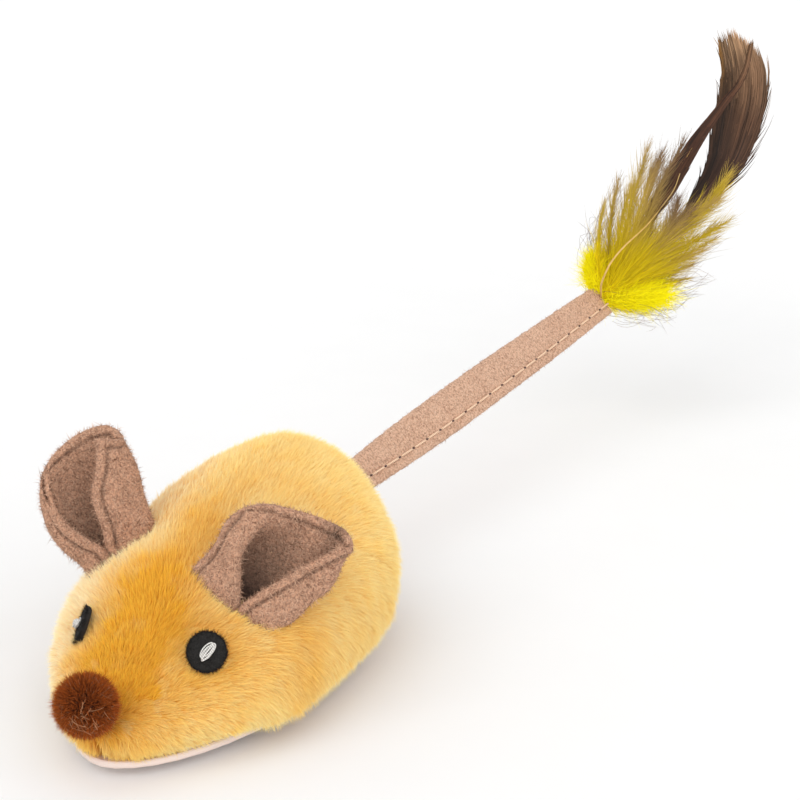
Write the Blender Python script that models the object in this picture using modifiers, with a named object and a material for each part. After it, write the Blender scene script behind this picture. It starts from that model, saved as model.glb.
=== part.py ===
"""Robotic mouse cat toy: a plush mouse on a small two-wheeled chassis, with a strap tail and feathers.

The frame has +Z up, the nose towards -Y and the mouse's left towards +X. The origin is the middle of the
flat recess in the underside. All lengths are in metres.
"""

import math

import bmesh
import bpy
from mathutils import Matrix, Vector

# Gaps and cuts
GAP = 0.0003
RUNNING_GAP = 0.00008
OVERRUN = 0.0015
WELD = 0.000001

# Plush body
BODY_LENGTH = 0.100
BODY_WIDTH = 0.0635
BODY_HEIGHT = 0.0432
WAIST_HEIGHT = 0.008
PLUSH_FLOOR = 0.0016
PLUSH_THICKNESS = 0.0045
PLAN_SHARES = (0.55, 0.38)
CROWN_SHARES = (0.95, 0.31)
PLUSH_FOOT_SHARES = (0.80, 0.925)
FORM_SEGMENTS = 30
FORM_RINGS = 18

# Chassis shells
WALL = 0.0015
SEAM_HEIGHT = 0.008
LABEL_DEPTH = 0.0004
SOLE_WIDTH = 0.0492
SOLE_SETBACK = 0.00425
SHELL_FOOT_SHARES = (0.87, 0.955)
LABEL_WIDTH = 0.018
LABEL_LENGTH = 0.012

# Case screws and their posts
CASE_SCREW_RADIUS = 0.00095
CASE_SCREW_LENGTH = 0.0085
CASE_HEAD_RADIUS = 0.0018
CASE_HEAD_HEIGHT = 0.0011
CASE_POST_RADIUS = 0.0024
CASE_BOSS_HEIGHT = 0.0034
CASE_FRONT_SHARES = (0.228, -0.205)
CASE_REAR_SHARES = (0.276, 0.300)

# Wheels and gears
MODULE = 0.0005
WHEEL_TEETH = 22
IDLER_TEETH = 22
SMALL_TEETH = 8
GEAR_WIDTH = 0.0016
TOOTH_TIP_SHARE = 0.75
TOOTH_ROOT_SHARE = 1.15
TOOTH_WIDTH_SHARES = (0.60, 0.20)
WHEEL_RADIUS = 0.011
TYRE_DEPTH = 0.0018
WHEEL_WIDTH = 0.004
WHEEL_HOLES = 5
WHEEL_HOLE_SHARE = 0.36
HUB_RADIUS = 0.0026
BORE_SEGMENTS = 12
AXLE_RADIUS = 0.001
AXLE_SHARE = 0.08
AXLE_Z = 0.008
WHEEL_CLEARANCE = 0.0007
IDLER_SHAFT_RADIUS = 0.00075
IDLER_DIRECTION = math.radians(130)
MOTOR_DIRECTION = math.radians(190)

# Motors
MOTOR_LENGTH = 0.0115
MOTOR_RADIUS = 0.005
MOTOR_HALF_HEIGHT = 0.004
MOTOR_BOSS_RADIUS = 0.00175
MOTOR_BOSS_LENGTH = 0.001
MOTOR_SHAFT_RADIUS = 0.0005
MOTOR_SHAFT_DEPTH = 0.003

# Gearbox plates
PLATE_THICKNESS = 0.001
PLATE_MARGIN = 0.0042
PLATE_BOTTOM = 0.0043
AXLE_BOSS_RADIUS = 0.0022
AXLE_BOSS_LENGTH = 0.003
IDLER_BOSS_RADIUS = 0.0017
IDLER_BOSS_LENGTH = 0.0018
FOOT_LENGTH = 0.0045
FOOT_REACH = 0.0046
FOOT_THICKNESS = 0.0012
SADDLE_THICKNESS = 0.0009
PLATE_SCREW_RADIUS = 0.00075
PLATE_SCREW_LENGTH = 0.0034
PLATE_HEAD_RADIUS = 0.0015
PLATE_HEAD_HEIGHT = 0.001
PLATE_BOSS_RADIUS = 0.002

# Caster
CASTER_SHARE = -0.28
CASTER_WELL_RADIUS = 0.0078
CASTER_WELL_DEPTH = 0.0072
CASTER_WALL = 0.001
CASTER_RADIUS = 0.004
CASTER_WIDTH = 0.0034
CASTER_TRAIL = 0.003
CASTER_AXLE_Z = 0.001
CASTER_PIN_RADIUS = 0.0006
FORK_THICKNESS = 0.001
FORK_STEM_RADIUS = 0.0014
FORK_HEAD_HEIGHT = 0.0011
FORK_HEAD_GROWTH = 0.0006

# Battery
BATTERY_WIDTH = 0.020
BATTERY_LENGTH = 0.024
BATTERY_HEIGHT = 0.006
BATTERY_SHARE = -0.02
BATTERY_ROUNDING = 0.0012
PAD_THICKNESS = 0.0008

# Circuit board
BOARD_CLEARANCE = 0.00605
BOARD_TAIL_LENGTH = 0.008
BOARD_HALF_WIDTH = 0.011
BOARD_TAIL_HALF_WIDTH = 0.0065
BOARD_THICKNESS = 0.0012
BOARD_BOTTOM = 0.0054
BOARD_POST_RADIUS = 0.0016
BOARD_POST_X = 0.009
BOARD_POST_INSET = 0.0027
BOARD_POST_OVERHANG = 0.0005
BOARD_SCREW_RADIUS = 0.00055
BOARD_SCREW_LENGTH = 0.0034
BOARD_HEAD_RADIUS = 0.0011
BOARD_HEAD_HEIGHT = 0.0007
CHIP_SIDE = 0.0046
CHIP_HEIGHT = 0.0012
CHIP_SETBACK = 0.0093

# Charge socket, power switch and status light
SOCKET_WIDTH = 0.009
SOCKET_HEIGHT = 0.0032
SOCKET_LENGTH = 0.0073
SOCKET_WALL = 0.0003
SOCKET_SETBACK = 0.0056
SOCKET_OVERHANG = 0.0024
TONGUE_WIDTH = 0.0066
TONGUE_THICKNESS = 0.0007
NOTCH_MARGIN = 0.0009
SWITCH_TO_SOCKET = 0.0091
SWITCH_WIDTH = 0.0086
SWITCH_LENGTH = 0.0044
SWITCH_HEIGHT = 0.0026
KNOB_SIDE = 0.0018
KNOB_TRAVEL = 0.0024
KNOB_REACH = 0.0007
KNOB_SEAT = 0.0012
LED_X = 0.0075
LED_TO_SOCKET = 0.0066
LED_RADIUS = 0.001

# Leads
LEAD_RADIUS = 0.0004
MOTOR_LEAD_RADIUS = 0.0006
LEAD_DIP = 0.0085
LEAD_BOARD_INSET = 0.0012
BATTERY_LEAD_X = 0.0072
MOTOR_LEAD_X = 0.0034

# Ears
EAR_LENGTH = 0.030
EAR_HALF_WIDTH = 0.0165
EAR_THICKNESS = 0.0022
EAR_ROOT_CURL = 0.0052
EAR_TIP_CURL = 0.0105
EAR_SINK = 0.0035
EAR_WIDEST_SHARE = 0.55
EAR_ROOT_WIDTH_SHARE = 0.72
EAR_TIP_SHARE = 0.94
EAR_LEFT_SHARE = 0.94
EAR_LEFT_X = 0.0142
EAR_LEFT_PLACE_SHARE = -0.140
EAR_LEFT_DEPTH = 0.0023
EAR_LEFT_ALONG = (0.83, 0.02, 0.56)
EAR_LEFT_FRONT = (-0.05, -0.98, 0.17)
EAR_RIGHT_SHARE = 1.0
EAR_RIGHT_X = -0.0172
EAR_RIGHT_PLACE_SHARE = -0.103
EAR_RIGHT_DEPTH = 0.0005
EAR_RIGHT_ALONG = (-0.13, 0.06, 1.0)
EAR_RIGHT_FRONT = (-0.50, -0.86, 0.0)
EAR_COLUMNS = 14
EAR_ROWS = 9

# Eyes and nose
EYE_X = 0.0141
EYE_SHARE = -0.287
EYE_RADIUS = 0.0043
EYE_THICKNESS = 0.0022
EYE_RELIEF = 0.0011
STITCH_LENGTH = 0.0040
STITCH_WIDTH = 0.0017
STITCH_HEIGHT = 0.0009
NOSE_RADIUS = 0.0064
NOSE_SETBACK = 0.0004
NOSE_Z = 0.0147

# Tail
TAIL_X = 0.0
TAIL_OVERHANG = 0.0025
TAIL_Z = 0.0200
TAIL_YAW = math.radians(8.4)
TAIL_RISE = math.radians(6.3)
STRAP_TILT = math.radians(50)
STRAP_LENGTH = 0.128
STRAP_THICKNESS = 0.0026
STRAP_ROOT_WIDTH = 0.0068
STRAP_WIDTH = 0.0106
STRAP_TIP_WIDTH = 0.0086
STRAP_PEAK_SHARE = 0.42
TAB_LENGTH = 0.0085
LINK_LENGTH = 0.008
TAIL_GAP = 0.0008
STRAP_SQUARENESS = 0.7
STRAP_RINGS = 16
TAB_RINGS = 8

# Feathers
FLUFF_LENGTH = 0.048
FLUFF_WIDTH = 0.026
FLUFF_DEPTH = 0.013
FEATHER_LENGTH = 0.104
LONG_FEATHER_WIDTH = 0.019
SHORT_FEATHER_WIDTH = 0.016
FEATHER_THICKNESS = 0.0022
FEATHER_RISE = math.radians(35)
FEATHER_CURL = math.radians(54)
FEATHER_SPREAD = 0.0062
LONG_FEATHER_LEAN = math.radians(5)
SHORT_FEATHER_LEAN = math.radians(-6)
FLUFF_SHARES = (0.5, 0.7)
FEATHER_SHARES = (0.8, 0.7)
FEATHER_PARTING_SHARE = 0.5
QUILL_RADIUS = 0.0008
QUILL_LENGTH = 0.054
QUILL_STATIONS = 10

# Places that follow from the sizes above
SOLE_BOTTOM = -LABEL_DEPTH
FLOOR_TOP = SOLE_BOTTOM + WALL
SHELL_INSET = PLUSH_THICKNESS
CAVITY_INSET = PLUSH_THICKNESS + WALL
SOLE_LENGTH = BODY_LENGTH - 2 * SOLE_SETBACK
AXLE_Y = AXLE_SHARE * BODY_LENGTH
CASTER_Y = CASTER_SHARE * BODY_LENGTH
BATTERY_Y = BATTERY_SHARE * BODY_LENGTH
EAR_LEFT_Y = EAR_LEFT_PLACE_SHARE * BODY_LENGTH
EAR_RIGHT_Y = EAR_RIGHT_PLACE_SHARE * BODY_LENGTH
EYE_Y = EYE_SHARE * BODY_LENGTH
NOSE_Y = -(BODY_LENGTH / 2 - NOSE_SETBACK)
TAIL_Y = BODY_LENGTH / 2 + TAIL_OVERHANG
SOCKET_MOUTH_Y = BODY_LENGTH / 2 - SOCKET_SETBACK
BOARD_REAR = SOCKET_MOUTH_Y - SOCKET_OVERHANG
PLATE_REAR = AXLE_Y + PLATE_MARGIN + FOOT_LENGTH / 2
BOARD_FRONT = PLATE_REAR + BOARD_CLEARANCE
BOARD_SHOULDER = BOARD_REAR - BOARD_TAIL_LENGTH
BOARD_POST_FRONT = BOARD_FRONT + BOARD_POST_INSET
BOARD_POST_REAR = BOARD_SHOULDER + BOARD_POST_OVERHANG
CHIP_Y = BOARD_FRONT + CHIP_SETBACK
SOCKET_FRONT = SOCKET_MOUTH_Y - SOCKET_LENGTH
SWITCH_Y = SOCKET_FRONT - SWITCH_TO_SOCKET
LED_Y = SOCKET_FRONT - LED_TO_SOCKET
MOTOR_INNER_X = GAP
MOTOR_FACE_X = MOTOR_INNER_X + MOTOR_LENGTH
PLATE_X = MOTOR_FACE_X + GAP
GEAR_A_X = PLATE_X + PLATE_THICKNESS + GAP
GEAR_B_X = GEAR_A_X + GEAR_WIDTH
WHEEL_X = GEAR_B_X + GEAR_WIDTH + 2 * GAP
WHEEL_OUTER_X = WHEEL_X + WHEEL_WIDTH
IDLER_DISTANCE = MODULE * (WHEEL_TEETH + SMALL_TEETH) / 2
MOTOR_DISTANCE = MODULE * (IDLER_TEETH + SMALL_TEETH) / 2
IDLER_Y = AXLE_Y + IDLER_DISTANCE * math.cos(IDLER_DIRECTION)
IDLER_Z = AXLE_Z + IDLER_DISTANCE * math.sin(IDLER_DIRECTION)
MOTOR_Y = IDLER_Y + MOTOR_DISTANCE * math.cos(MOTOR_DIRECTION)
MOTOR_Z = IDLER_Z + MOTOR_DISTANCE * math.sin(MOTOR_DIRECTION)
PLATE_BOSS_TOP = PLATE_BOTTOM - GAP
CASTER_ROOF = SOLE_BOTTOM + CASTER_WELL_DEPTH
BOARD_TOP = BOARD_BOTTOM + BOARD_THICKNESS
PAD_BOTTOM = MOTOR_Z + MOTOR_HALF_HEIGHT + GAP
BATTERY_BOTTOM = PAD_BOTTOM + PAD_THICKNESS + GAP

# Collections
PARTS = "robotic_mouse_cat_toy"
CUTTERS = "cutters"


# Scene and materials
def clear_scene():
    for obj in list(bpy.data.objects):
        bpy.data.objects.remove(obj)
    for collection in list(bpy.data.collections):
        bpy.data.collections.remove(collection)


def new_collection(name):
    collection = bpy.data.collections.new(name)
    bpy.context.scene.collection.children.link(collection)
    return collection


def material(name, colour, roughness, metallic=0.0):
    found = bpy.data.materials.get(name)
    if found:
        return found
    made = bpy.data.materials.new(name)
    made.use_nodes = True
    shader = made.node_tree.nodes["Principled BSDF"]
    shader.inputs["Base Color"].default_value = (*colour, 1.0)
    shader.inputs["Roughness"].default_value = roughness
    shader.inputs["Metallic"].default_value = metallic
    made.diffuse_color = (*colour, 1.0)
    return made


def plush_finish():
    return material("golden_plush", (0.80, 0.44, 0.10), 0.95)


def suede_finish():
    return material("rose_suede", (0.47, 0.26, 0.19), 0.9)


def felt_finish():
    return material("black_felt", (0.016, 0.015, 0.013), 0.7)


def thread_finish():
    return material("white_thread", (0.85, 0.84, 0.80), 0.6)


def pompom_finish():
    return material("brown_pompom", (0.16, 0.035, 0.010), 0.95)


def fluff_finish():
    return material("yellow_marabou", (0.55, 0.40, 0.01), 0.9)


def feather_finish():
    return material("brown_feather", (0.055, 0.028, 0.016), 0.8)


def quill_finish():
    return material("golden_quill", (0.50, 0.33, 0.08), 0.5)


def shell_finish():
    return material("blush_plastic", (0.86, 0.78, 0.74), 0.4)


def gear_finish():
    return material("white_nylon", (0.82, 0.82, 0.78), 0.45)


def wheel_finish():
    return material("black_plastic", (0.03, 0.03, 0.03), 0.45)


def rubber_finish():
    return material("black_rubber", (0.02, 0.02, 0.02), 0.85)


def steel_finish():
    return material("bright_steel", (0.62, 0.62, 0.62), 0.3, 1.0)


def board_finish():
    return material("green_board", (0.02, 0.16, 0.06), 0.5)


def battery_finish():
    return material("silver_pouch", (0.55, 0.56, 0.58), 0.35, 0.6)


def pad_finish():
    return material("black_foam", (0.03, 0.03, 0.03), 0.95)


def led_finish():
    return material("red_lens", (0.55, 0.03, 0.02), 0.25)


def red_lead_finish():
    return material("red_insulation", (0.55, 0.02, 0.02), 0.5)


def black_lead_finish():
    return material("black_insulation", (0.02, 0.02, 0.02), 0.5)


# Objects, joins and cuts
def place(obj, finish=None):
    """Puts an object in the parts' collection, or with no finish in the cutters' one."""
    home = bpy.data.collections[CUTTERS if finish is None else PARTS]
    for collection in list(obj.users_collection):
        collection.objects.unlink(obj)
    home.objects.link(obj)
    if finish is None:
        obj.hide_render = True
        obj.display_type = "WIRE"
        return obj
    obj.data.materials.clear()
    obj.data.materials.append(finish)
    return obj


def object_from(bm, name, finish=None):
    mesh = bpy.data.meshes.new(name)
    if bm.calc_volume(signed=True) < 0:
        bmesh.ops.reverse_faces(bm, faces=bm.faces)
    bm.to_mesh(mesh)
    bm.free()
    mesh.shade_smooth()
    mesh.set_sharp_from_angle(angle=math.radians(35))
    return place(bpy.data.objects.new(name, mesh), finish)


def turned_to(obj, centre, axis):
    """Places an object made about +Z so that its middle is at centre and its +Z lies along axis."""
    obj.rotation_euler = Vector(axis).to_track_quat("Z", "Y").to_euler()
    obj.location = centre
    return obj


def cylinder(name, radius, start, end, finish=None, segments=16, far_radius=None):
    """A cylinder or cone from one point to another."""
    start = Vector(start)
    end = Vector(end)
    bm = bmesh.new()
    bmesh.ops.create_cone(
        bm,
        cap_ends=True,
        segments=segments,
        radius1=radius,
        radius2=radius if far_radius is None else far_radius,
        depth=(end - start).length,
    )
    return turned_to(object_from(bm, name, finish), (start + end) / 2, end - start)


def post(name, radius, x, y, low, high, finish=None, segments=16, far_radius=None):
    """An upright cylinder or cone."""
    return cylinder(name, radius, (x, y, low), (x, y, high), finish, segments, far_radius)


def bar(name, radius, sign, inner, outer, y, z, finish=None, segments=16):
    """A cylinder along X on one side of the toy, between two distances from its middle."""
    return cylinder(name, radius, (sign * inner, y, z), (sign * outer, y, z), finish, segments)


def box(name, low, high, finish=None):
    low = Vector(low)
    high = Vector(high)
    bm = bmesh.new()
    bmesh.ops.create_cube(bm, size=1)
    size = high - low
    bmesh.ops.scale(bm, vec=size, verts=bm.verts)
    obj = object_from(bm, name, finish)
    obj.location = (low + high) / 2
    return obj


def rounded(obj, width, segments=2):
    bevel = obj.modifiers.new("edges", "BEVEL")
    bevel.width = width
    bevel.segments = segments
    bevel.limit_method = "ANGLE"
    return obj


def boolean(target, tool, operation):
    modifier = target.modifiers.new(tool.name, "BOOLEAN")
    modifier.object = tool
    modifier.operation = operation
    modifier.solver = "EXACT"
    return target


def cut(target, tool):
    return boolean(target, tool, "DIFFERENCE")


def join(target, tool):
    return boolean(target, tool, "UNION")


def mesh_of_curve(curve, name, finish=None):
    """A closed mesh object with the shape of a curve, whose caps are welded to its sides."""
    guide = bpy.data.objects.new(name + "_guide", curve)
    bpy.context.scene.collection.objects.link(guide)
    bpy.context.view_layer.update()
    graph = bpy.context.evaluated_depsgraph_get()
    mesh = bpy.data.meshes.new_from_object(guide.evaluated_get(graph))
    matrix = guide.matrix_world.copy()
    bpy.data.objects.remove(guide)
    bm = bmesh.new()
    bm.from_mesh(mesh)
    bmesh.ops.remove_doubles(bm, verts=bm.verts, dist=WELD)
    obj = object_from(bm, name, finish)
    obj.matrix_world = matrix
    return obj


def flat_plate(name, outlines, thickness, finish=None):
    """A plate in its own XY plane: the first outline is its edge and the others are holes."""
    curve = bpy.data.curves.new(name, "CURVE")
    curve.dimensions = "2D"
    curve.fill_mode = "BOTH"
    curve.extrude = thickness / 2
    for outline in outlines:
        spline = curve.splines.new("POLY")
        spline.points.add(len(outline) - 1)
        for point, (x, y) in zip(spline.points, outline):
            point.co = (x, y, 0.0, 1.0)
        spline.use_cyclic_u = True
    return mesh_of_curve(curve, name, finish)


def facing_x(obj, centre):
    """Turns a flat plate so that its x runs along +Y, its y along +Z and its thickness along +X."""
    obj.rotation_euler = (math.radians(90), 0.0, math.radians(90))
    obj.location = centre
    return obj


def circle(radius, count):
    return [
        (radius * math.cos(math.tau * i / count), radius * math.sin(math.tau * i / count))
        for i in range(count)
    ]


def tube_curve(name, points, radius, resolution=1):
    """A round bar along the points, with closed ends."""
    curve = bpy.data.curves.new(name, "CURVE")
    curve.dimensions = "3D"
    curve.bevel_depth = radius
    curve.bevel_resolution = resolution
    curve.use_fill_caps = True
    spline = curve.splines.new("POLY")
    spline.points.add(len(points) - 1)
    for point, place_at in zip(spline.points, points):
        point.co = (*place_at, 1.0)
    return curve


def tube(name, points, radius, finish):
    return place(bpy.data.objects.new(name, tube_curve(name, points, radius)), finish)


def smooth_route(knots, count):
    """Points spaced along a smooth curve through the knots, by Catmull and Rom's cubic."""
    knots = [Vector(knot) for knot in knots]
    ends = [2 * knots[0] - knots[1]] + knots + [2 * knots[-1] - knots[-2]]
    route = []
    spans = len(knots) - 1
    for i in range(count + 1):
        place_in = min(i * spans / count, spans - 1e-9)
        k = int(place_in)
        u = place_in - k
        a, b, c, d = ends[k : k + 4]
        curve = 2 * b + (c - a) * u + (2 * a - 5 * b + 4 * c - d) * u**2
        route.append((curve + (3 * b - a - 3 * c + d) * u**3) / 2)
    return route


# The mouse form
def share_along(t, shares):
    """A hump from nose to rear that is 1 at its peak: t to the first share times 1 - t to the second."""
    rise, fall = shares
    peak = rise / (rise + fall)
    return t**rise * (1 - t) ** fall / (peak**rise * (1 - peak) ** fall)


def crown_height(t, inset=0.0):
    return WAIST_HEIGHT + (BODY_HEIGHT - inset - WAIST_HEIGHT) * share_along(t, CROWN_SHARES)


def roof_height(x, y, inset):
    """Height of the mouse form's upper surface over a point."""
    t = y / (BODY_LENGTH - 2 * inset) + 0.5
    half = (BODY_WIDTH / 2 - inset) * share_along(t, PLAN_SHARES)
    return WAIST_HEIGHT + (crown_height(t, inset) - WAIST_HEIGHT) * math.sqrt(1 - (x / half) ** 2)


def form_point(t, turn, inset, floor, foot_shares):
    """A point of the mouse form, t of the way from nose to rear and turned round its section.

    Above the waist the section is half an ellipse. Below it the side curves in to the foot, and
    the floor is flat.
    """
    half = (BODY_WIDTH / 2 - inset) * share_along(t, PLAN_SHARES)
    y = (t - 0.5) * (BODY_LENGTH - 2 * inset)
    side = math.cos(turn)
    up = math.sin(turn)
    if up >= 0:
        return half * side, y, WAIST_HEIGHT + (crown_height(t, inset) - WAIST_HEIGHT) * up
    below = math.asin(min(1.0, -up)) / math.radians(90)
    drop = min(1.0, 2 * below)
    inward = max(0.0, 2 * below - 1)
    x = half * (1 - (1 - foot_shares[0]) * drop**2) * (1 - inward)
    y *= 1 - (1 - foot_shares[1]) * drop**2
    return math.copysign(x, side), y, WAIST_HEIGHT - (WAIST_HEIGHT - floor) * drop


def mouse_form(name, inset, floor, foot_shares, finish=None):
    """A round ball, each of whose points moves to its place on the mouse form."""
    bm = bmesh.new()
    bmesh.ops.create_uvsphere(bm, u_segments=FORM_SEGMENTS, v_segments=FORM_RINGS, radius=1)
    for vert in bm.verts:
        t = min(1.0, max(0.0, (1 - vert.co.z) / 2))
        turn = math.atan2(vert.co.y, vert.co.x)
        vert.co = form_point(t, turn, inset, floor, foot_shares)
    return object_from(bm, name, finish)


def form_normal(x, y, inset):
    """Outward direction of the form's upper surface over a point."""
    step = GAP
    slope_x = (roof_height(x + step, y, inset) - roof_height(x - step, y, inset)) / (2 * step)
    slope_y = (roof_height(x, y + step, inset) - roof_height(x, y - step, inset)) / (2 * step)
    return Vector((-slope_x, -slope_y, 1.0)).normalized()


def plush_clearance(name):
    """The room that the plush body and its gap take, which is cut from what is sewn to it."""
    return mouse_form(name, -GAP, PLUSH_FLOOR - GAP, PLUSH_FOOT_SHARES)


# Plush body, ears, eyes and nose
def make_plush_body(inside, tail_slot):
    body = mouse_form("plush_body", 0.0, PLUSH_FLOOR, PLUSH_FOOT_SHARES, plush_finish())
    cut(body, inside)
    cut(body, tail_slot)
    cut(body, socket_notch())
    return body


def socket_notch():
    """The gap in the plush's rear edge that a charging plug goes through."""
    half = SOCKET_WIDTH / 2 + NOTCH_MARGIN
    return box(
        "plush_notch",
        (-half, SOCKET_MOUTH_Y - WALL, PLUSH_FLOOR - OVERRUN),
        (half, BODY_LENGTH / 2 + OVERRUN, BOARD_BOTTOM + NOTCH_MARGIN),
    )


def ear_half_width(v):
    """Half the flat ear's width at v of its length: level ground to a round tip."""
    if v < EAR_WIDEST_SHARE:
        u = 1 - v / EAR_WIDEST_SHARE
        return EAR_HALF_WIDTH * (1 - (1 - EAR_ROOT_WIDTH_SHARE) * u**2)
    u = (v - EAR_WIDEST_SHARE) / (1 - EAR_WIDEST_SHARE)
    return EAR_HALF_WIDTH * math.sqrt(max(0.0, 1 - EAR_TIP_SHARE * u**2))


def make_ear(name, root, along, front, size_share, clearance):
    """A leaf of suede rolled into a cup: tight at its root and more open at its tip."""
    along = Vector(along).normalized()
    front = Vector(front)
    front = (front - along * front.dot(along)).normalized()
    side = along.cross(front)
    root = Vector(root) - along * EAR_SINK
    bm = bmesh.new()
    bmesh.ops.create_grid(bm, x_segments=EAR_COLUMNS, y_segments=EAR_ROWS, size=1)
    for vert in bm.verts:
        v = (1 + vert.co.y) / 2
        curl = EAR_ROOT_CURL + (EAR_TIP_CURL - EAR_ROOT_CURL) * v
        turn = vert.co.x * ear_half_width(v) / curl
        across = side * curl * math.sin(turn)
        back = front * (EAR_ROOT_CURL - curl * math.cos(turn))
        vert.co = root + (along * EAR_LENGTH * v + across + back) * size_share
    ear = object_from(bm, name, suede_finish())
    wall = ear.modifiers.new("two layers", "SOLIDIFY")
    wall.thickness = EAR_THICKNESS
    wall.offset = 0.0
    return cut(ear, clearance)


def make_ears(clearance):
    root = (EAR_LEFT_X, EAR_LEFT_Y, roof_height(EAR_LEFT_X, EAR_LEFT_Y, EAR_LEFT_DEPTH))
    make_ear("ear_left", root, EAR_LEFT_ALONG, EAR_LEFT_FRONT, EAR_LEFT_SHARE, clearance)
    root = (EAR_RIGHT_X, EAR_RIGHT_Y, roof_height(EAR_RIGHT_X, EAR_RIGHT_Y, EAR_RIGHT_DEPTH))
    make_ear("ear_right", root, EAR_RIGHT_ALONG, EAR_RIGHT_FRONT, EAR_RIGHT_SHARE, clearance)


def make_eye(side_name, sign, clearance):
    """A felt disc on the plush, and the thread through its middle that holds it."""
    normal = form_normal(sign * EYE_X, EYE_Y, 0.0)
    seat = Vector((sign * EYE_X, EYE_Y, roof_height(EYE_X, EYE_Y, 0.0)))
    top = seat + normal * EYE_RELIEF
    disc = cylinder("eye_" + side_name, EYE_RADIUS, top - normal * EYE_THICKNESS, top, felt_finish())
    cut(disc, clearance)
    bm = bmesh.new()
    bmesh.ops.create_uvsphere(bm, u_segments=8, v_segments=6, radius=0.5)
    bmesh.ops.scale(bm, vec=(STITCH_LENGTH, STITCH_WIDTH, STITCH_HEIGHT), verts=bm.verts)
    stitch = object_from(bm, "eye_stitch_" + side_name, thread_finish())
    turned_to(stitch, top + normal * (STITCH_HEIGHT / 2 + GAP / 2), normal)


def make_nose(clearance):
    bm = bmesh.new()
    bmesh.ops.create_uvsphere(bm, u_segments=18, v_segments=12, radius=NOSE_RADIUS)
    nose = object_from(bm, "nose_pompom", pompom_finish())
    nose.location = (0.0, NOSE_Y, NOSE_Z)
    return cut(nose, clearance)


# Tail
def tail_direction():
    level = math.cos(TAIL_RISE)
    return Vector((math.sin(TAIL_YAW) * level, math.cos(TAIL_YAW) * level, math.sin(TAIL_RISE)))


def tail_axes():
    """Directions along the strap, across its width and through its thickness."""
    along = tail_direction()
    level = Vector((-math.cos(TAIL_YAW), math.sin(TAIL_YAW), 0.0))
    upright = level.cross(along).normalized()
    if upright.z < 0:
        upright = -upright
    across = level * math.cos(STRAP_TILT) + upright * math.sin(STRAP_TILT)
    return along, across, along.cross(across)


def strap_width(share):
    """Width of the strap: narrow where it is sewn in, widest before its middle, slimmer at its tip."""
    if share < STRAP_PEAK_SHARE:
        u = 1 - share / STRAP_PEAK_SHARE
        return STRAP_WIDTH - (STRAP_WIDTH - STRAP_ROOT_WIDTH) * u**2
    u = (share - STRAP_PEAK_SHARE) / (1 - STRAP_PEAK_SHARE)
    return STRAP_WIDTH - (STRAP_WIDTH - STRAP_TIP_WIDTH) * u**2


def strap_stations(length, rounding, count):
    """Where the rings of a strap lie, as shares of its length, and how full each ring is.

    Each end is a quarter circle in three rings, and the rings between lie evenly.
    """
    cap = rounding / length
    ends = [(cap * (1 - math.cos(turn)), math.sin(turn)) for turn in (0.0, math.radians(40))]
    middle = count - 2 * len(ends)
    level = [(cap + (1 - 2 * cap) * i / middle, 1.0) for i in range(middle + 1)]
    return ends + level + [(1 - share, full) for share, full in reversed(ends)]


def strap_piece(name, start, end, widths, finish, count, growth=0.0):
    """A flat strap of folded suede between two points of the tail's line, with round ends."""
    along, across, through = tail_axes()
    origin = Vector((TAIL_X, TAIL_Y, TAIL_Z))
    length = end - start
    stations = strap_stations(length, STRAP_ROOT_WIDTH / 2, count)
    bm = bmesh.new()
    bmesh.ops.create_uvsphere(bm, u_segments=12, v_segments=count, radius=1)
    for vert in bm.verts:
        ring = round(math.acos(max(-1.0, min(1.0, -vert.co.z))) / math.pi * count)
        share, full = stations[ring]
        turn = math.atan2(vert.co.y, vert.co.x)
        side = math.copysign(abs(math.cos(turn)) ** STRAP_SQUARENESS, math.cos(turn))
        face = math.copysign(abs(math.sin(turn)) ** STRAP_SQUARENESS, math.sin(turn))
        x = side * (widths(share) / 2 + growth) * full
        z = face * (STRAP_THICKNESS / 2 + growth) * full
        vert.co = origin + along * (start + length * share) + across * x + through * z
    return object_from(bm, name, finish)


def make_tail(inside):
    """The tab sewn into the plush, the pinched fold next to it and the long strap."""
    tab_end = -TAIL_GAP / 2
    link_start = TAIL_GAP / 2
    link_end = link_start + LINK_LENGTH
    strap_start = link_end + TAIL_GAP

    def root_width(share):
        return STRAP_ROOT_WIDTH

    tab = strap_piece("tail_tab", tab_end - TAB_LENGTH, tab_end, root_width, suede_finish(), TAB_RINGS)
    cut(tab, inside)
    strap_piece("tail_link", link_start, link_end, root_width, suede_finish(), TAB_RINGS)
    strap_piece("tail_strap", strap_start, STRAP_LENGTH, strap_width, suede_finish(), STRAP_RINGS)
    return strap_piece("tail_slot", tab_end - TAB_LENGTH, tab_end, root_width, None, TAB_RINGS, GAP)


# Feathers
def feather_spine(length, lean, count):
    """Points and directions of a quill that leaves the strap's tip and curls upwards."""
    along, across, through = tail_axes()
    level = Vector((math.sin(TAIL_YAW), math.cos(TAIL_YAW), 0.0))
    point = Vector((TAIL_X, TAIL_Y, TAIL_Z)) + along * (STRAP_LENGTH + GAP)
    places = []
    for i in range(count + 1):
        share = i / count
        rise = FEATHER_RISE + lean + FEATHER_CURL * (share - 0.5)
        heading = level * math.cos(rise) + Vector((0.0, 0.0, 1.0)) * math.sin(rise)
        places.append((point.copy(), heading))
        point += heading * length / count
    return places


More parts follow.
